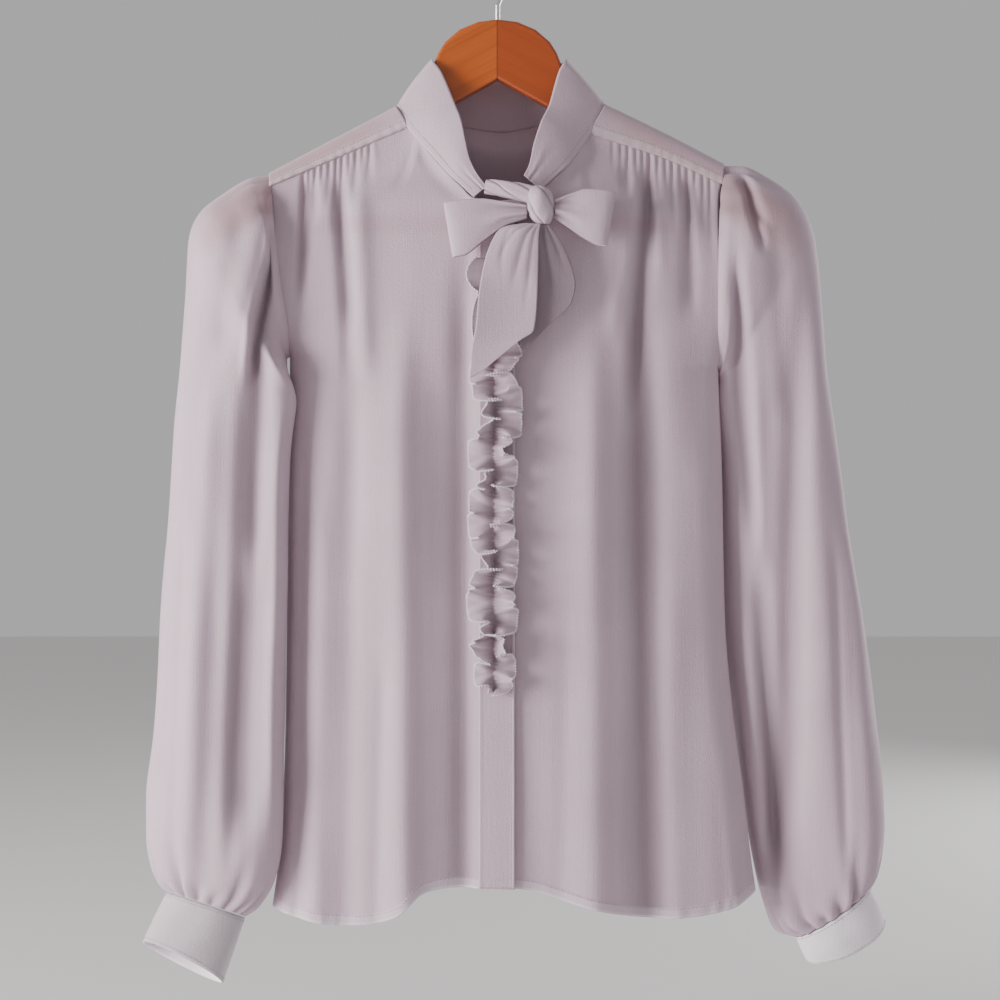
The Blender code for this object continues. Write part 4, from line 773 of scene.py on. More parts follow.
def ruffle(us, vs):
    """Points of the double ruffle, its painted shade between the wings and its pale picot edge."""
    u, v = np.meshgrid(us, vs)
    z = RUFFLE_TOP + (RUFFLE_END - RUFFLE_TOP) * v
    side = np.where(u > 0.5, 1, -1)
    out = np.abs(2.0 * u - 1.0)
    right = wing_open(1, z)
    left = wing_open(-1, z)
    opened, reach, phase, length = [np.where(side > 0, a, b) for a, b in zip(right, left)]
    hidden = smooth(RUFFLE_LOW_Z - 8.0, RUFFLE_LOW_Z + 8.0, z)
    shown = 1.0 - hidden
    tucked = RUFFLE_TUCKED_ANGLE * (1.0 - 0.6 * opened)
    stand = RUFFLE_SHUT_ANGLE + (RUFFLE_OPEN_ANGLE - RUFFLE_SHUT_ANGLE) * opened
    stand = stand * shown + tucked * hidden
    sway = z * 0.41 + 1.5 * np.sin(z * 0.057) + 2.0 * side
    flute = np.sin(sway) + 0.4 * np.sin(z * 0.97 + side)
    stand = np.radians(stand + 30.0 * flute * shown * out * (1.0 - 0.3 * opened))
    wide = (reach * opened + RUFFLE_SHUT_WIDTH * (1.0 - opened)) * out
    end = smooth(0.0, 0.02, 1.0 - v) * 0.6 + 0.4
    y0 = lap_y(RUFFLE_MIDDLE_X, z) - SEAM_SHIFT - RUFFLE_FOOT
    curl = np.sin(math.pi * np.minimum(1.0, out)) * RUFFLE_CURL * (1.4 + 0.9 * flute)
    lean = np.maximum(stand * (0.55 + 0.45 * out), 0.02)
    gather = 0.5 * np.sin(z * 2.1 + 3.0 * np.sin(z * 0.31) + side)
    gather = gather * np.exp(-((out - 0.14) / 0.22) ** 2)
    x = RUFFLE_MIDDLE_X + side * wide * np.cos(lean) * end
    y = y0 - wide * np.sin(lean) * end - curl * shown + gather
    swing = np.minimum(4.0, 0.08 * length) * np.sin(2.0 * math.pi * phase)
    swing = swing * out ** 1.5 * (opened > 0)
    swing = swing + 3.0 * np.cos(sway) * out ** 2
    # Lighter picot thread along the free edges of the wings.
    pale = smooth(0.95, 0.99, out) * 0.8
    # Painted shade, darkest near the middle and where a wing stands shut.
    tone = 1.0 * (1.0 - smooth(0.0, 0.62, out)) + 0.34 * (1.0 - opened) + 0.22 * flute * out
    return np.stack((x, y, z + swing * shown), -1), tone, pale


def twist(us, vs):
    """Points of the twisted tie between the collar and the knot."""
    u, v = np.meshgrid(us, vs)
    pts = stations(TWIST)
    middle = np.stack([f(v) for f in pts], -1)
    ahead = np.stack([f(np.minimum(1.0, v + 0.01)) for f in pts], -1)
    behind = np.stack([f(np.maximum(0.0, v - 0.01)) for f in pts], -1)
    axis = ahead - behind
    axis = axis / np.linalg.norm(axis, axis=-1)[..., None]
    side = np.cross(axis, (0.0, 1.0, 0.0))
    side = side / np.linalg.norm(side, axis=-1)[..., None]
    front = np.cross(side, axis)
    radius = TWIST_RADII[0] + (TWIST_RADII[1] - TWIST_RADII[0]) * v
    turn = 2.0 * math.pi * u
    valley = np.abs(np.sin(1.5 * turn + math.pi * 1.6 * v))
    ridge = 1.08 - 0.34 * np.exp(-(valley / 0.26) ** 2) + 0.04 * np.cos(7.0 * turn + 9.0 * v)
    swell = (radius * ridge)[..., None]
    flat = side * np.cos(turn)[..., None] * 1.25 + front * np.sin(turn)[..., None] * 0.75
    p = middle + flat * swell
    # The second value is painted shade in the valleys of the twist.
    return p, (1.06 - ridge) * 2.2


def knot(us, vs):
    """Points of the knot with its wraps."""
    u, v = np.meshgrid(us, vs)
    z, x, wide, deep = [f(v) for f in stations(KNOT)]
    turn = 2.0 * math.pi * u
    valley = np.abs(np.sin(1.5 * turn + 3.4 * v + 0.6))
    ridge = 1.06 - 0.26 * np.exp(-(valley / 0.24) ** 2) + 0.03 * np.cos(5.0 * turn - 7.0 * v + 1.0)
    p = np.stack((x + wide * ridge * np.cos(turn), KNOT_Y - deep * ridge * np.sin(turn), z), -1)
    # The second value is painted shade in the valleys between the wraps.
    return p, (1.04 - ridge) * 2.4


# Painted shade mixed into the crepe in its hollows, creases and wraps, and the paler colour at its turned
# edges, partly lighter picot thread and partly painted highlight.
PAINTED_SHADE_COLOUR = (0.150, 0.105, 0.125, 1.0)
EDGE_THREAD_AND_HIGHLIGHT_COLOUR = (0.780, 0.680, 0.750, 1.0)
CREASES_BACK = (
    (-52.0, 2.0, 60, 1.0), (-31.0, 1.8, 44, 0.8), (30.0, 1.8, 50, 0.9), (55.0, 2.0, 64, 1.0),
)
# Creases of the tie ends. place across and down at the top, then at the end, half width, depth
TIE_FRONT_FOLDS = (
    (0.72, 0.55, 0.00, 0.55, 0.07, 0.9), (0.45, 0.25, 0.00, 0.38, 0.06, 0.7),
    (0.88, 0.80, 0.02, 0.70, 0.05, 0.6), (0.20, 0.35, 0.12, 0.48, 0.06, 0.5),
)
TIE_BACK_FOLDS = (
    (0.35, 0.60, 0.00, 0.60, 0.08, 0.9), (0.75, 0.85, 0.00, 0.45, 0.07, 0.6),
)
# How far the collar runs below its seam, as a share and as its depth there.
COLLAR_LAP = -0.07
COLLAR_DEPTH = 42.0
LOOP_SLANT = 6.4
# The hanger seen through the crepe, and the painted shade of the under tail of the bow.
TINT_COLOUR = (0.380, 0.190, 0.180, 1.0)
TAIL_SHADE = 0.70
WOOD_SEAM_COLOUR = (0.08, 0.02, 0.004, 1.0)
# Where the hanger's arms and bar show through the crepe: start, full, end, gone.
ARM_SLOPE = 0.548
ARM_BAND = (-0.1300, -0.1060, -0.0890, -0.0780)
ARM_REACH = (0.055, 0.110, 0.196, 0.232)
BAR_BAND = (-0.2245, -0.2165, -0.2125, -0.2045)
BAR_REACH = (-0.010, -0.005, 0.110, 0.165)
GRAIN_SLOPE = 0.53
# Hem stitching: rows used to find the line, and its height above the edge.
HEM_ROWS = 600
HEM_DEEP = 6.6
# Places nearer than this along a sheet are dropped.
MIN_STEP = 0.0015
CENTRE = (0.0018, -0.02, -0.4133)
CAMERA_DISTANCE = 1.73
FLOOR_Z = -0.86
FLOOR_REACH = 6.0
KEY_PLACE = (-2.05, -0.85, -0.32)
FILL_PLACE = (1.7, -1.5, -0.1)
BEHIND_PLACE = (1.75, 1.45, -0.10)
UNEVEN_STITCHES = (0.82, 1.12)


def hem_line(sheet, up, lift):
    """A line at an even height above the lower edge of a sheet, on its outer face."""
    points = sheet[0]
    low = points[-1, :, 2] + up
    picked = []
    for i in range(points.shape[1]):
        row = int(np.argmin(np.abs(points[:, i, 2] - low[i])))
        picked.append(points[row, i] + np.array((0.0, lift, 0.0)))
    return np.array(picked)


def stitch_lines():
    """Seam and hem lines of the whole blouse, by name."""
    wall = bpy.context.scene.blouse_cloth.wall / 2
    seams = {}
    hems = []
    for sheet, lift in ((front_right_sheet(HEM_ROWS), -wall), (front_left_sheet(HEM_ROWS), -wall),
                        (back_sheet(HEM_ROWS), wall)):
        hems.append(hem_line(sheet, HEM_DEEP, lift)[3:-3])
    seams["hem"] = hems
    z = np.linspace(PLACKET_Z[0] - 2.0, PLACKET_Z[1] + 2.0, 400)
    lap = []
    for x in (PLACKET_X[0] + 1.2, PLACKET_X[1] - 2.4):
        lap.append(np.stack((np.full(z.shape, x), lap_y(x, z) - SEAM_SHIFT - wall - 0.05, z), -1))
    seams["placket"] = lap
    yokes = []
    for rows in (YOKE_RIGHT, YOKE_LEFT):
        points = yoke(rows, np.array((0.0, 0.05, 0.95, 1.0)), np.linspace(0.01, 0.99, 200))[0]
        yokes.append(points[:, 1] + np.array((0.0, -0.65, 0.0)))
        yokes.append(points[:, 2] + np.array((0.0, 0.65, 0.0)))
    seams["yokes"] = yokes
    cuffs = []
    for rows in (CUFF_RIGHT, CUFF_LEFT):
        points = cuff(rows, ring_places(160), np.array((0.06, 0.94)))
        middle = points.mean(axis=1, keepdims=True)
        away = (points - middle) / np.linalg.norm(points - middle, axis=-1)[..., None]
        cuffs += [np.concatenate((ring, ring[:1])) for ring in points + away * 0.95]
    seams["cuffs"] = cuffs
    us = np.linspace(0.03, 0.97, 300)
    points = collar(us, np.array((0.03, 0.06, 0.09)))[0]
    out = away_from_neck(points)
    seams["collar"] = [(points + out * 0.75)[1]]
    return seams


# Looks of the cloths, wood and metal


def shader(name):
    """A material with a fresh principled surface, ready for a pattern."""
    mat = bpy.data.materials.new(name)
    mat.use_nodes = True
    return mat, mat.node_tree, mat.node_tree.nodes["Principled BSDF"]


def add(tree, kind, **values):
    """A new node with its inputs or settings filled in."""
    node = tree.nodes.new(kind)
    for key, value in values.items():
        if key in node.inputs:
            node.inputs[key].default_value = value
        else:
            setattr(node, key, value)
    return node


def fill(node, **values):
    """Set inputs by name, with _ for a space."""
    for key, value in values.items():
        node.inputs[key.replace("_", " ")].default_value = value


def ranged(tree, value, start, end, low=0.0, high=1.0, kind="LINEAR"):
    node = add(tree, "ShaderNodeMapRange", interpolation_type=kind)
    fill(node, From_Min=start, From_Max=end, To_Min=low, To_Max=high)
    tree.links.new(value, node.inputs["Value"])
    return node.outputs[0]


def noise(tree, place, **values):
    node = add(tree, "ShaderNodeTexNoise", **values)
    tree.links.new(place, node.inputs["Vector"])
    return node.outputs[0]


def toned(colour, share):
    """A lighter or darker form of a colour."""
    return tuple(min(1.0, c * share) for c in colour[:3]) + (1.0,)


def math_node(tree, operation, a, b=None):
    node = tree.nodes.new("ShaderNodeMath")
    node.operation = operation
    for socket, value in zip(node.inputs, (a, b)):
        if hasattr(value, "is_output"):
            tree.links.new(value, socket)
        elif value is not None:
            socket.default_value = value
    return node.outputs[0]


def band_of(tree, value, start, full, end, gone):
    """1 between full and end, fading to 0 at start and gone. All four rise."""
    rise = ranged(tree, value, start, full, kind="SMOOTHSTEP")
    fall = ranged(tree, value, end, gone, 1.0, 0.0, "SMOOTHSTEP")
    return math_node(tree, "MULTIPLY", rise, fall)


def mix_colour(tree, factor, a, b):
    node = tree.nodes.new("ShaderNodeMix")
    node.data_type = "RGBA"
    for key, value in (("Factor", factor), (6, a), (7, b)):
        socket = node.inputs[key]
        if hasattr(value, "is_output"):
            tree.links.new(value, socket)
        else:
            socket.default_value = value
    return node.outputs[2]


def blend(tree, a, share_a, b, share_b):
    """The sum of shares of two values."""
    return math_node(tree, "ADD", math_node(tree, "MULTIPLY", a, share_a),
                     math_node(tree, "MULTIPLY", b, share_b))


def crepe_material(name, colour, arm_shows=0.0, bar_shows=0.0):
    """Fine pebbled crepe with a slight slub, the faint hanger colour behind it, painted shade in its hollows
    and paler edges.
    """
    mat, tree, bsdf = shader(name)
    link = tree.links.new
    place = add(tree, "ShaderNodeTexCoord").outputs["Object"]
    pebble = noise(tree, place, Scale=1150.0, Detail=2.0, Roughness=0.6)
    cloud = noise(tree, place, Scale=26.0, Detail=3.0, Roughness=0.5)
    turn = add(tree, "ShaderNodeMapping", Scale=(900.0, 240.0, 26.0))
    link(place, turn.inputs["Vector"])
    slub = noise(tree, turn.outputs[0], Scale=1.0, Detail=2.0, Roughness=0.5)
    mottle = blend(tree, cloud, 0.55, slub, 0.45)
    base = mix_colour(tree, mottle, toned(colour, 0.88), toned(colour, 1.10))
    if arm_shows or bar_shows:
        split = add(tree, "ShaderNodeSeparateXYZ")
        link(place, split.inputs[0])
        side = math_node(tree, "ABSOLUTE", split.outputs["X"])
        level = math_node(tree, "MULTIPLY", side, ARM_SLOPE)
        level = math_node(tree, "ADD", split.outputs["Z"], level)
        arm = math_node(tree, "MULTIPLY", band_of(tree, level, *ARM_BAND),
                        band_of(tree, side, *ARM_REACH))
        bar = math_node(tree, "MULTIPLY", band_of(tree, split.outputs["Z"], *BAR_BAND),
                        band_of(tree, side, *BAR_REACH))
        base = mix_colour(tree, blend(tree, arm, arm_shows, bar, bar_shows), base, TINT_COLOUR)
    # Painted shade: the hollow attribute darkens the crepe in folds, creases, wraps and inside the cuffs.
    hollow = add(tree, "ShaderNodeAttribute", attribute_name="hollow").outputs["Fac"]
    base = mix_colour(tree, math_node(tree, "MULTIPLY", hollow, 0.60), base, PAINTED_SHADE_COLOUR)
    # Pale edges: lighter picot thread, and painted highlight on rolled and folded edges.
    edge = add(tree, "ShaderNodeAttribute", attribute_name="pale").outputs["Fac"]
    link(mix_colour(tree, edge, base, EDGE_THREAD_AND_HIGHLIGHT_COLOUR), bsdf.inputs["Base Color"])
    bump = add(tree, "ShaderNodeBump", Strength=0.8, Distance=0.0005)
    link(blend(tree, pebble, 0.8, slub, 0.35), bump.inputs["Height"])
    link(bump.outputs[0], bsdf.inputs["Normal"])
    fill(bsdf, Roughness=0.72, Specular_IOR_Level=0.35, Sheen_Weight=0.35, Sheen_Roughness=0.45,
         Sheen_Tint=(0.95, 0.92, 0.97, 1.0))
    return mat


def thread_material(name, colour):
    mat, tree, bsdf = shader(name)
    place = add(tree, "ShaderNodeTexCoord").outputs["Object"]
    fuzz = noise(tree, place, Scale=2200.0, Detail=1.0)
    tree.links.new(mix_colour(tree, fuzz, toned(colour, 0.85), colour), bsdf.inputs["Base Color"])
    fill(bsdf, Roughness=0.6, Sheen_Weight=0.2)
    return mat


def wood_material(name, light, dark):
    """Varnished wood in two glued halves with long grain down each arm."""
    mat, tree, bsdf = shader(name)
    link = tree.links.new
    split = add(tree, "ShaderNodeSeparateXYZ")
    link(add(tree, "ShaderNodeTexCoord").outputs["Object"], split.inputs[0])
    side = math_node(tree, "ABSOLUTE", split.outputs["X"])
    across = math_node(tree, "MULTIPLY", side, GRAIN_SLOPE)
    across = math_node(tree, "ADD", split.outputs["Z"], across)
    down = math_node(tree, "MULTIPLY", split.outputs["Z"], GRAIN_SLOPE)
    down = math_node(tree, "SUBTRACT", side, down)
    joined = add(tree, "ShaderNodeCombineXYZ")
    for axis, value, scale in (("X", down, 5.0), ("Y", split.outputs["Y"], 90.0),
                               ("Z", across, 150.0)):
        link(math_node(tree, "MULTIPLY", value, scale), joined.inputs[axis])
    grain = noise(tree, joined.outputs[0], Scale=1.0, Detail=5.0, Roughness=0.62, Distortion=0.8)
    ramp = add(tree, "ShaderNodeValToRGB")
    stops = zip(ramp.color_ramp.elements, (0.30, 0.68), (toned(light, 0.62), light))
    for stop, position, colour in stops:
        stop.position = position
        stop.color = colour
    link(grain, ramp.inputs[0])
    right = ranged(tree, split.outputs["X"], -0.0006, 0.0004)
    base = mix_colour(tree, math_node(tree, "MULTIPLY", right, 0.62), ramp.outputs[0], dark)
    seam = band_of(tree, split.outputs["X"], -0.0009, -0.0004, 0.0000, 0.0005)
    base = mix_colour(tree, math_node(tree, "MULTIPLY", seam, 0.75), base, WOOD_SEAM_COLOUR)
    link(base, bsdf.inputs["Base Color"])
    bump = add(tree, "ShaderNodeBump", Strength=0.12, Distance=0.0004)
    height = math_node(tree, "SUBTRACT", grain, math_node(tree, "MULTIPLY", seam, 0.8))
    link(height, bump.inputs["Height"])
    link(bump.outputs[0], bsdf.inputs["Normal"])
    fill(bsdf, Roughness=0.33, Coat_Weight=0.5, Coat_Roughness=0.18)
    return mat


def steel_material(name):
    mat, tree, bsdf = shader(name)
    place = add(tree, "ShaderNodeTexCoord").outputs["Object"]
    scratch = noise(tree, place, Scale=700.0, Detail=3.0)
    tree.links.new(ranged(tree, scratch, 0.0, 1.0, 0.20, 0.34), bsdf.inputs["Roughness"])
    fill(bsdf, Base_Color=(0.66, 0.66, 0.68, 1.0), Metallic=1.0)
    return mat


def floor_material(name, colour):
    mat, tree, bsdf = shader(name)
    fill(bsdf, Base_Color=colour, Roughness=0.9)
    return mat


# Making the pieces


def shell(name, sheet, closed, thick, inside=0.0):
    """A thin cloth wall with two faces and closed edges, with its painted shade and pale edges noted."""
    points, tone, pale = sheet
    rows, cols = points.shape[:2]
    if closed:
        across = np.roll(points, -1, 1) - np.roll(points, 1, 1)
    else:
        across = np.gradient(points, axis=1)
    down = np.gradient(points, axis=0)
    normal = np.cross(across, down)
    normal = normal / np.maximum(1e-9, np.linalg.norm(normal, axis=-1))[..., None]
    outer = points + normal * thick / 2
    inner = points - normal * thick / 2
    index = np.arange(rows * cols).reshape(rows, cols)
    if closed:
        index = np.concatenate((index, index[:, :1]), 1)
    a, b = index[:-1, :-1], index[:-1, 1:]
    c, d = index[1:, 1:], index[1:, :-1]
    quads = np.stack((a, b, c, d), -1).reshape(-1, 4)
    count = rows * cols
    faces = [quads, quads[:, ::-1] + count]
    edges = [(index[0], True), (index[-1], False)]
    if not closed:
        edges += [(index[:, 0], False), (index[:, -1], True)]
    for line, flip in edges:
        p, q = (line[1:], line[:-1]) if flip else (line[:-1], line[1:])
        faces.append(np.stack((p, q, q + count, p + count), -1))
    verts = np.concatenate((outer.reshape(-1, 3), inner.reshape(-1, 3))) * MM
    mesh = bpy.data.meshes.new(name)
    mesh.from_pydata(verts.tolist(), [], np.concatenate(faces).tolist())
    mesh.validate()
    # hollow carries the painted shade, with the inner face darker by within; pale carries the pale edges.
    for label, values, within in (("hollow", tone, inside), ("pale", pale, 0.0)):
        layer = mesh.attributes.new(label, "FLOAT", "POINT")
        flat = np.broadcast_to(values, (rows, cols)).reshape(-1)
        both = np.clip(np.concatenate((flat, flat + within)), -0.4, 1.0)
        layer.data.foreach_set("value", both.astype(np.float32))
    mesh.shade_smooth()
    obj = bpy.data.objects.new(name, mesh)
    bpy.context.scene.collection.objects.link(obj)
    outward(obj)
    return obj


def outward(obj):
    """Turn every face outwards."""
    bm = bmesh.new()
    bm.from_mesh(obj.data)
    bmesh.ops.recalc_face_normals(bm, faces=bm.faces[:])
    bm.to_mesh(obj.data)
    bm.free()


def dress(obj, node, material):
    """Give a piece its material and its body, and hide the solid it stands for."""
    obj.data.materials.append(material)
    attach(obj, "root")
    if node:
        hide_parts(node)
    return obj


def smooth_rows(count, dense_at=()):
    """Places from 0 to 1, closer together in the stretches given as (from, to, extra)."""
    places = [np.linspace(0.0, 1.0, count)]
    places += [np.linspace(a, b, extra) for a, b, extra in dense_at]
    places = np.sort(np.concatenate(places))
    kept = [0.0]
    for place in places:
        if place - kept[-1] > MIN_STEP and (1.0 - place > MIN_STEP or place == 1.0):
            kept.append(place)
    return np.array(kept)


def stitch_tree(name, round_beads):
    """Nodes that set stitches, or picot knots, evenly along a line of points."""
    tree = bpy.data.node_groups.new(name, "GeometryNodeTree")
    face = tree.interface
    face.new_socket("Line", in_out="INPUT", socket_type="NodeSocketGeometry")
    for label, default in (("Pitch", 0.003), ("Length", 0.0022), ("Radius", 0.00025)):
        socket = face.new_socket(label, in_out="INPUT", socket_type="NodeSocketFloat")
        socket.default_value = default
    face.new_socket("Thread", in_out="INPUT", socket_type="NodeSocketMaterial")
    face.new_socket("Stitches", in_out="OUTPUT", socket_type="NodeSocketGeometry")
    link = tree.links.new
    start, end = add(tree, "NodeGroupInput"), add(tree, "NodeGroupOutput")
    path = add(tree, "GeometryNodeMeshToCurve")
    even = add(tree, "GeometryNodeResampleCurve", mode="LENGTH")
    tangent = add(tree, "GeometryNodeInputTangent")
    turned = add(tree, "FunctionNodeAlignRotationToVector", axis="Z")
    uneven = add(tree, "FunctionNodeRandomValue", data_type="FLOAT", Seed=7)
    uneven.inputs[2].default_value, uneven.inputs[3].default_value = UNEVEN_STITCHES
    if round_beads:
        bit = add(tree, "GeometryNodeMeshIcoSphere", Subdivisions=1)
    else:
        bit = add(tree, "GeometryNodeMeshCylinder", Vertices=6)
        link(start.outputs["Length"], bit.inputs["Depth"])
    put = add(tree, "GeometryNodeInstanceOnPoints")
    real = add(tree, "GeometryNodeRealizeInstances")
    skin = add(tree, "GeometryNodeSetMaterial")
    for a, out, b, into in (
            (start, "Line", path, "Mesh"), (path, "Curve", even, "Curve"),
            (start, "Pitch", even, "Length"), (tangent, 0, turned, "Vector"),
            (start, "Radius", bit, "Radius"), (even, "Curve", put, "Points"),
            (bit, "Mesh", put, "Instance"), (turned, "Rotation", put, "Rotation"),
            (uneven, 1, put, "Scale"), (put, "Instances", real, "Geometry"),
            (real, "Geometry", skin, "Geometry"), (start, "Thread", skin, "Material"),
            (skin, "Geometry", end, "Stitches")):
        link(a.outputs[out], b.inputs[into])
    return tree


def sew(name, lines, tree, pitch, length, radius, thread):
    """Run a stitch tree along lines of points and keep the plain mesh."""
    verts, edges = [], []
    for line in lines:
        first = len(verts)
        verts += [tuple(p) for p in np.asarray(line) * MM]
        edges += [(first + i, first + i + 1) for i in range(len(line) - 1)]
    mesh = bpy.data.meshes.new(name + "_line")
    mesh.from_pydata(verts, edges, [])
    guide = bpy.data.objects.new(name + "_line", mesh)
    bpy.context.scene.collection.objects.link(guide)
    modifier = guide.modifiers.new("stitches", "NODES")
    modifier.node_group = tree
    values = {"Pitch": pitch, "Length": length, "Radius": radius, "Thread": thread}
    for socket in tree.interface.items_tree:
        if socket.in_out == "INPUT" and socket.name in values:
            modifier[socket.identifier] = values[socket.name]
    shaped = guide.evaluated_get(bpy.context.evaluated_depsgraph_get())
    plain = bpy.data.meshes.new_from_object(shaped)
    plain.name = name
    guide.modifiers.clear()
    bpy.data.objects.remove(guide)
    if not len(plain.polygons):
        raise RuntimeError("no stitches were set for " + name)
    plain.shade_smooth()
    obj = bpy.data.objects.new(name, plain)
    bpy.context.scene.collection.objects.link(obj)
    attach(obj, "root")
    return obj


def hang(name, sheet, closed, wall, material, inside=0.0):
    """Make one cloth piece and dress it."""
    obj = shell(name + "_crepe", sheet, closed, wall, inside)
    dress(obj, name, material)


# Sheets of each piece


def front_right_sheet(rows=170):
    us = smooth_rows(76, ((0.12, 0.46, 84), (0.9, 1.0, 6)))
    vs = smooth_rows(rows, ((0.0, 0.16, 40), (0.965, 1.0, 18)))
    return panel(TOP_RIGHT, hem_front, -1, -1, FRONT_FOLDS, FRONT_DRAPES, CREASES_RIGHT, us, vs)


def front_left_sheet(rows=170):
    us = smooth_rows(70, ((0.46, 0.97, 100),))
    vs = smooth_rows(rows, ((0.0, 0.18, 44), (0.965, 1.0, 18)))
    return panel(TOP_LEFT, hem_front, 1, -1, FRONT_FOLDS, FRONT_DRAPES, CREASES_LEFT, us, vs)


def back_sheet(rows=130):
    us = smooth_rows(150)
    vs = smooth_rows(rows, ((0.0, 0.1, 20), (0.965, 1.0, 16)))
    return panel(TOP_BACK, hem_back, 0, 1, BACK_FOLDS, BACK_DRAPES, CREASES_BACK, us, vs)


def ring_places(count):
    """Even places round a ring, without its first one twice."""
    return np.arange(count) / count


def colour(name, description, default):
    return bpy.props.FloatVectorProperty(
        name=name, description=description, subtype="COLOR", size=4, default=default)


def number(name, description, default, **limits):
    return bpy.props.FloatProperty(name=name, description=description, default=default, **limits)


class BlouseCloth(bpy.types.PropertyGroup):
    crepe: colour("Crepe", "Colour of the crepe", (0.540, 0.408, 0.480, 1.0))
    cuffs: colour("Cuffs", "Paler colour of the cuffs", (1.000, 0.860, 0.960, 1.0))
    thread: colour("Thread", "Colour of the sewing thread", (0.400, 0.320, 0.365, 1.0))
    wall: number("Cloth wall", "Thickness of the crepe", 0.9, min=0.3, max=2.0)


class BlouseSewing(bpy.types.PropertyGroup):
    pitch: number("Stitch pitch", "Distance between stitches", 0.0028, min=0.001, unit="LENGTH")
    length: number("Stitch length", "Length of one stitch", 0.0021, min=0.0005, unit="LENGTH")
    radius: number("Thread radius", "Half thickness of the thread", 0.0002, unit="LENGTH")
    picot: number("Picot pitch", "Distance between picot knots", 0.0021, min=0.0008, unit="LENGTH")
    picot_radius: number("Picot size", "Half size of one picot knot", 0.00085, unit="LENGTH")


class BlouseHanger(bpy.types.PropertyGroup):
    light: colour("Light half", "Varnished wood of the lighter half", (0.520, 0.095, 0.002, 1.0))
    dark: colour("Dark half", "Varnished wood of the darker half", (0.250, 0.028, 0.000, 1.0))


class BlouseStudio(bpy.types.PropertyGroup):
    floor: colour("Floor", "Colour of the floor", (0.80, 0.79, 0.78, 1.0))
    room: number("Room light", "Brightness of the room", 0.47, min=0.0)
    key: number("Key light", "Power of the main light", 92.0, min=0.0)
    fill: number("Fill light", "Power of the fill light", 3.0, min=0.0)
    behind: number("Back light", "Power of the light behind", 34.0, min=0.0)


class PieceOperator:
    bl_options = {"REGISTER", "UNDO"}


class BLOUSE_OT_body(PieceOperator, bpy.types.Operator):
    """Hang the two fronts and the back"""
    bl_idname = "blouse.body"
    bl_label = "Fronts and Back"

    def execute(self, context):
        cloth = context.scene.blouse_cloth
        crepe = crepe_material("dusty_crepe_body", cloth.crepe, 0.06, 0.17)
        sheets = {"front_right": front_right_sheet(), "front_left": front_left_sheet(), "back": back_sheet()}
        for name, sheet in sheets.items():
            hang(name, sheet, False, cloth.wall, crepe)
        return {"FINISHED"}


class BLOUSE_OT_sleeves(PieceOperator, bpy.types.Operator):
    """Hang the gathered sleeves and their paler cuffs"""
    bl_idname = "blouse.sleeves"
    bl_label = "Sleeves and Cuffs"

    def execute(self, context):
        cloth = context.scene.blouse_cloth
        crepe = crepe_material("dusty_crepe_sleeves", cloth.crepe, 0.46, 0.0)
        pale = crepe_material("pale_crepe_cuffs", cloth.cuffs)
        vs = smooth_rows(120, ((0.0, 0.12, 30), (0.86, 1.0, 36)))
        us = ring_places(170)
        for name, rows, folds, side in (("sleeve_right", SLEEVE_RIGHT, SLEEVE_FOLDS_RIGHT, -1),
                                        ("sleeve_left", SLEEVE_LEFT, SLEEVE_FOLDS_LEFT, 1)):
            points, tone = sleeve(rows, folds, side, us, vs)
            hang(name, (points, tone, 0.0), True, cloth.wall, crepe)
        for name, rows in (("cuff_right", CUFF_RIGHT), ("cuff_left", CUFF_LEFT)):
            points = cuff(rows, ring_places(120), np.linspace(0.0, 1.0, 22))
            # The inner faces of the cuffs get painted shade.
            hang(name, (points, 0.0, 0.0), True, CUFF_WALL, pale,
                 CUFF_INSIDE_SHADE)
        return {"FINISHED"}


class BLOUSE_OT_neck(PieceOperator, bpy.types.Operator):
    """Set the collar band and the shoulder yokes"""
    bl_idname = "blouse.neck"
    bl_label = "Collar and Yokes"

    def execute(self, context):
        cloth = context.scene.blouse_cloth
        crepe = crepe_material("dusty_crepe_neck", cloth.crepe, 0.42, 0.0)
        us = smooth_rows(240, ((0.28, 0.36, 20), (0.66, 0.74, 20)))
        points, tone = collar(us, np.linspace(COLLAR_LAP, 1.0, 28))
        hang("collar", (points, tone, 0.0), False, COLLAR_WALL, crepe)
        for name, rows in (("yoke_right", YOKE_RIGHT), ("yoke_left", YOKE_LEFT)):
            us = smooth_rows(36, ((0.0, 0.1, 8), (0.9, 1.0, 8)))
            points, pale = yoke(rows, us, np.linspace(0.0, 1.0, 90))
            hang(name, (points, 0.0, pale), False, YOKE_WALL, crepe)
        return {"FINISHED"}


class BLOUSE_OT_placket(PieceOperator, bpy.types.Operator):
    """Lay the placket and the double ruffle over it"""
    bl_idname = "blouse.placket"
    bl_label = "Placket and Ruffle"

    def execute(self, context):
        cloth = context.scene.blouse_cloth
        crepe = crepe_material("dusty_crepe_ruffle", cloth.crepe)
        u, v = np.meshgrid(np.linspace(0.0, 1.0, 28), np.linspace(0.0, 1.0, 240))
        x = PLACKET_X[0] + (PLACKET_X[1] - PLACKET_X[0]) * u
        z = PLACKET_Z[0] + (PLACKET_Z[1] - PLACKET_Z[0]) * v
        rolled = 0.35 * np.exp(-((u - 0.04) / 0.05) ** 2) + 0.5 * np.exp(-((u - 0.97) / 0.04) ** 2)
        y = lap_y(x, z) - SEAM_SHIFT - rolled
        # Painted highlight along the folded free edge.
        pale = 0.35 * np.exp(-((u - 0.98) / 0.03) ** 2)
        strip = (np.stack((x, y, z), -1), 0.0, pale)
        hang("placket", strip, False, cloth.wall, crepe)
        vs = np.linspace(0.0, 1.0, 620)
        us = np.unique(np.concatenate((np.linspace(0.0, 1.0, 32), (0.01, 0.02, 0.98, 0.99))))
        hang("ruffle", ruffle(us, vs), False, RUFFLE_WALL, crepe)
        return {"FINISHED"}


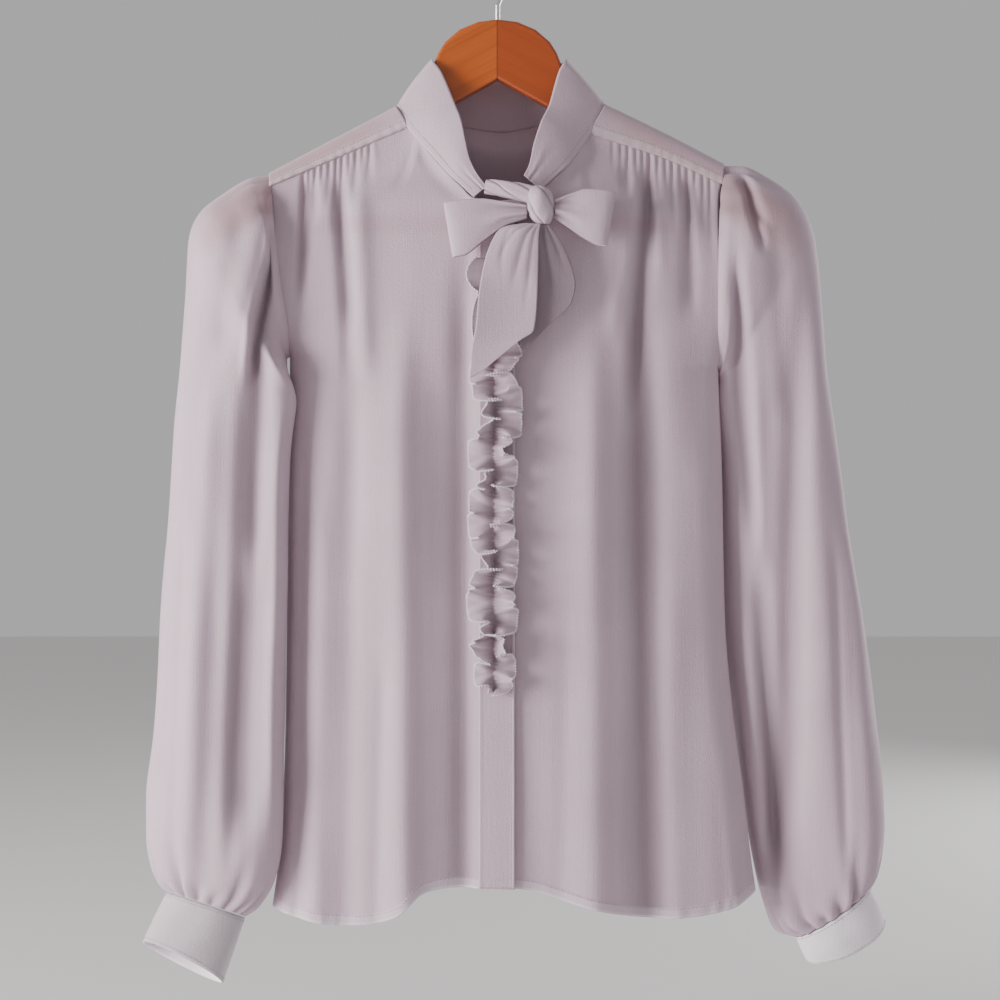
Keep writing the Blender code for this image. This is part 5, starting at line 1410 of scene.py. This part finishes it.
class BLOUSE_OT_bow(PieceOperator, bpy.types.Operator):
    """Tie the bow with its two loops and two ends"""
    bl_idname = "blouse.bow"
    bl_label = "Bow"

    def execute(self, context):
        cloth = context.scene.blouse_cloth
        crepe = crepe_material("dusty_crepe_bow", cloth.crepe)
        # Painted shade: the under tail is a darker copy of the crepe, in the front tail's shadow.
        under = crepe_material("shaded_crepe_tail", toned(cloth.crepe, TAIL_SHADE))
        pieces = [
            ("bow_twist", twist(ring_places(60), np.linspace(0.0, 1.0, 60)), True, "folded"),
            ("bow_knot", knot(ring_places(72), np.linspace(0.0, 1.0, 56)), True, "folded"),
        ]
        us, vs = np.linspace(0.0, 1.0, 90), np.linspace(0.0, 1.0, 44)
        for name, rows in (("bow_loop_right", LOOP_RIGHT), ("bow_loop_left", LOOP_LEFT)):
            pieces.append((name, loop(rows, us, vs), False, "folded"))
        us, vs = np.linspace(0.0, 1.0, 44), np.linspace(0.0, 1.0, 96)
        # The under tail gets painted shade through its shade value.
        for name, rows, folds, shade in (("tie_end_front", TIE_FRONT, TIE_FRONT_FOLDS, 0.0),
                                         ("tie_end_back", TIE_BACK, TIE_BACK_FOLDS, 0.85)):
            pieces.append((name, tie(rows, us, vs, folds, shade), False, "hung"))
        for name, (points, tone), closed, held in pieces:
            material = under if name == "tie_end_back" else crepe
            hang(name, (points, tone, 0.0), closed, FOLDED_WALL, material)
        return {"FINISHED"}


class BLOUSE_OT_sewing(PieceOperator, bpy.types.Operator):
    """Sew the seams, hems and the picot edge of the ruffle"""
    bl_idname = "blouse.sewing"
    bl_label = "Sewing"

    def execute(self, context):
        sewing = context.scene.blouse_sewing
        thread = thread_material("sewing_thread", tuple(context.scene.blouse_cloth.thread))
        straight = stitch_tree("straight_stitches", False)
        knots = stitch_tree("picot_knots", True)
        seams = stitch_lines()
        for name, lines in seams.items():
            sew("stitches_" + name, lines, straight, sewing.pitch, sewing.length, sewing.radius,
                thread)
        us = np.array((0.0, 1.0))
        points = ruffle(us, np.linspace(0.0, 1.0, 900))[0]
        picot = thread_material("picot_thread", EDGE_THREAD_AND_HIGHLIGHT_COLOUR)
        sew("picot_edge", (points[:, 0], points[:, 1]), knots, sewing.picot, sewing.length,
            sewing.picot_radius, picot)
        return {"FINISHED"}


class BLOUSE_OT_hanger(PieceOperator, bpy.types.Operator):
    """Varnish the wooden hanger and polish its hook"""
    bl_idname = "blouse.hanger"
    bl_label = "Hanger"

    def execute(self, context):
        hanger = context.scene.blouse_hanger
        wood = wood_material("varnished_wood", tuple(hanger.light), tuple(hanger.dark))
        steel = steel_material("polished_hook")
        for name, material in (("hanger_wood", wood), ("hanger_bar", wood), ("hanger_hook", steel)):
            obj = bpy.data.objects.get(name)
            if obj is None:
                raise RuntimeError("the hanger is missing from the frame")
            for slot in obj.material_slots:
                slot.material = material
        return {"FINISHED"}


class BLOUSE_OT_studio(PieceOperator, bpy.types.Operator):
    """Set the pale floor, the soft lights and the camera"""
    bl_idname = "blouse.studio"
    bl_label = "Studio"

    def execute(self, context):
        studio = context.scene.blouse_studio
        scene = context.scene
        mesh = bpy.data.meshes.new("floor")
        r = FLOOR_REACH
        corners = [(x, y, FLOOR_Z) for x, y in ((-r, -r), (r, -r), (r, r), (-r, r))]
        mesh.from_pydata(corners, [], [(0, 1, 2, 3)])
        floor = bpy.data.objects.new("floor", mesh)
        floor.data.materials.append(floor_material("pale_floor", tuple(studio.floor)))
        scene.collection.objects.link(floor)
        world = bpy.data.worlds.new("soft_room")
        world.use_nodes = True
        air = world.node_tree.nodes["Background"]
        fill(air, Color=(1.0, 0.985, 0.99, 1.0), Strength=studio.room)
        scene.world = world
        for name, place, size, power, tone in (
                ("key", KEY_PLACE, 1.1, studio.key, (1.0, 0.985, 0.97)),
                ("fill", FILL_PLACE, 1.8, studio.fill, (0.95, 0.97, 1.0)),
                ("behind", BEHIND_PLACE, 1.2, studio.behind, (1.0, 0.99, 0.98))):
            lamp = bpy.data.lights.new(name, "AREA")
            lamp.energy = power
            lamp.size = size
            lamp.color = tone
            light = bpy.data.objects.new(name, lamp)
            light.location = place
            aim = mathutils.Vector(CENTRE) - light.location
            light.rotation_euler = aim.to_track_quat("-Z", "Y").to_euler()
            scene.collection.objects.link(light)
        lens = bpy.data.cameras.new("camera")
        lens.lens = 85.0
        lens.sensor_width = 36.0
        lens.dof.use_dof = False
        camera = bpy.data.objects.new("camera", lens)
        camera.location = (CENTRE[0], -CAMERA_DISTANCE, CENTRE[2])
        camera.rotation_euler = (math.pi / 2, 0.0, 0.0)
        scene.collection.objects.link(camera)
        scene.camera = camera
        return {"FINISHED"}


STEPS = (BLOUSE_OT_body, BLOUSE_OT_sleeves, BLOUSE_OT_neck, BLOUSE_OT_placket, BLOUSE_OT_bow,
         BLOUSE_OT_sewing, BLOUSE_OT_hanger, BLOUSE_OT_studio)


class BLOUSE_PT_panel(bpy.types.Panel):
    bl_label = "Blouse"
    bl_idname = "BLOUSE_PT_panel"
    bl_space_type = "VIEW_3D"
    bl_region_type = "UI"
    bl_category = "Blouse"

    def draw(self, context):
        scene = context.scene
        for name, _ in GROUPS:
            group = getattr(scene, name)
            box = self.layout.box()
            for key in group.__annotations__:
                box.prop(group, key)
        for step in STEPS:
            self.layout.operator(step.bl_idname)


GROUPS = (("blouse_cloth", BlouseCloth), ("blouse_sewing", BlouseSewing),
          ("blouse_hanger", BlouseHanger), ("blouse_studio", BlouseStudio))


def register():
    for name, group in GROUPS:
        bpy.utils.register_class(group)
        setattr(bpy.types.Scene, name, bpy.props.PointerProperty(type=group))
    for step in STEPS:
        bpy.utils.register_class(step)
    bpy.utils.register_class(BLOUSE_PT_panel)


def unregister():
    bpy.utils.unregister_class(BLOUSE_PT_panel)
    for step in reversed(STEPS):
        bpy.utils.unregister_class(step)
    for name, group in reversed(GROUPS):
        delattr(bpy.types.Scene, name)
        bpy.utils.unregister_class(group)


def main():
    register()
    for obj in list(bpy.data.objects):
        if obj.type in ("LIGHT", "CAMERA"):
            bpy.data.objects.remove(obj)
    for step in STEPS:
        group, name = step.bl_idname.split(".")
        getattr(getattr(bpy.ops, group), name)()


if __name__ == "__main__":
    main()
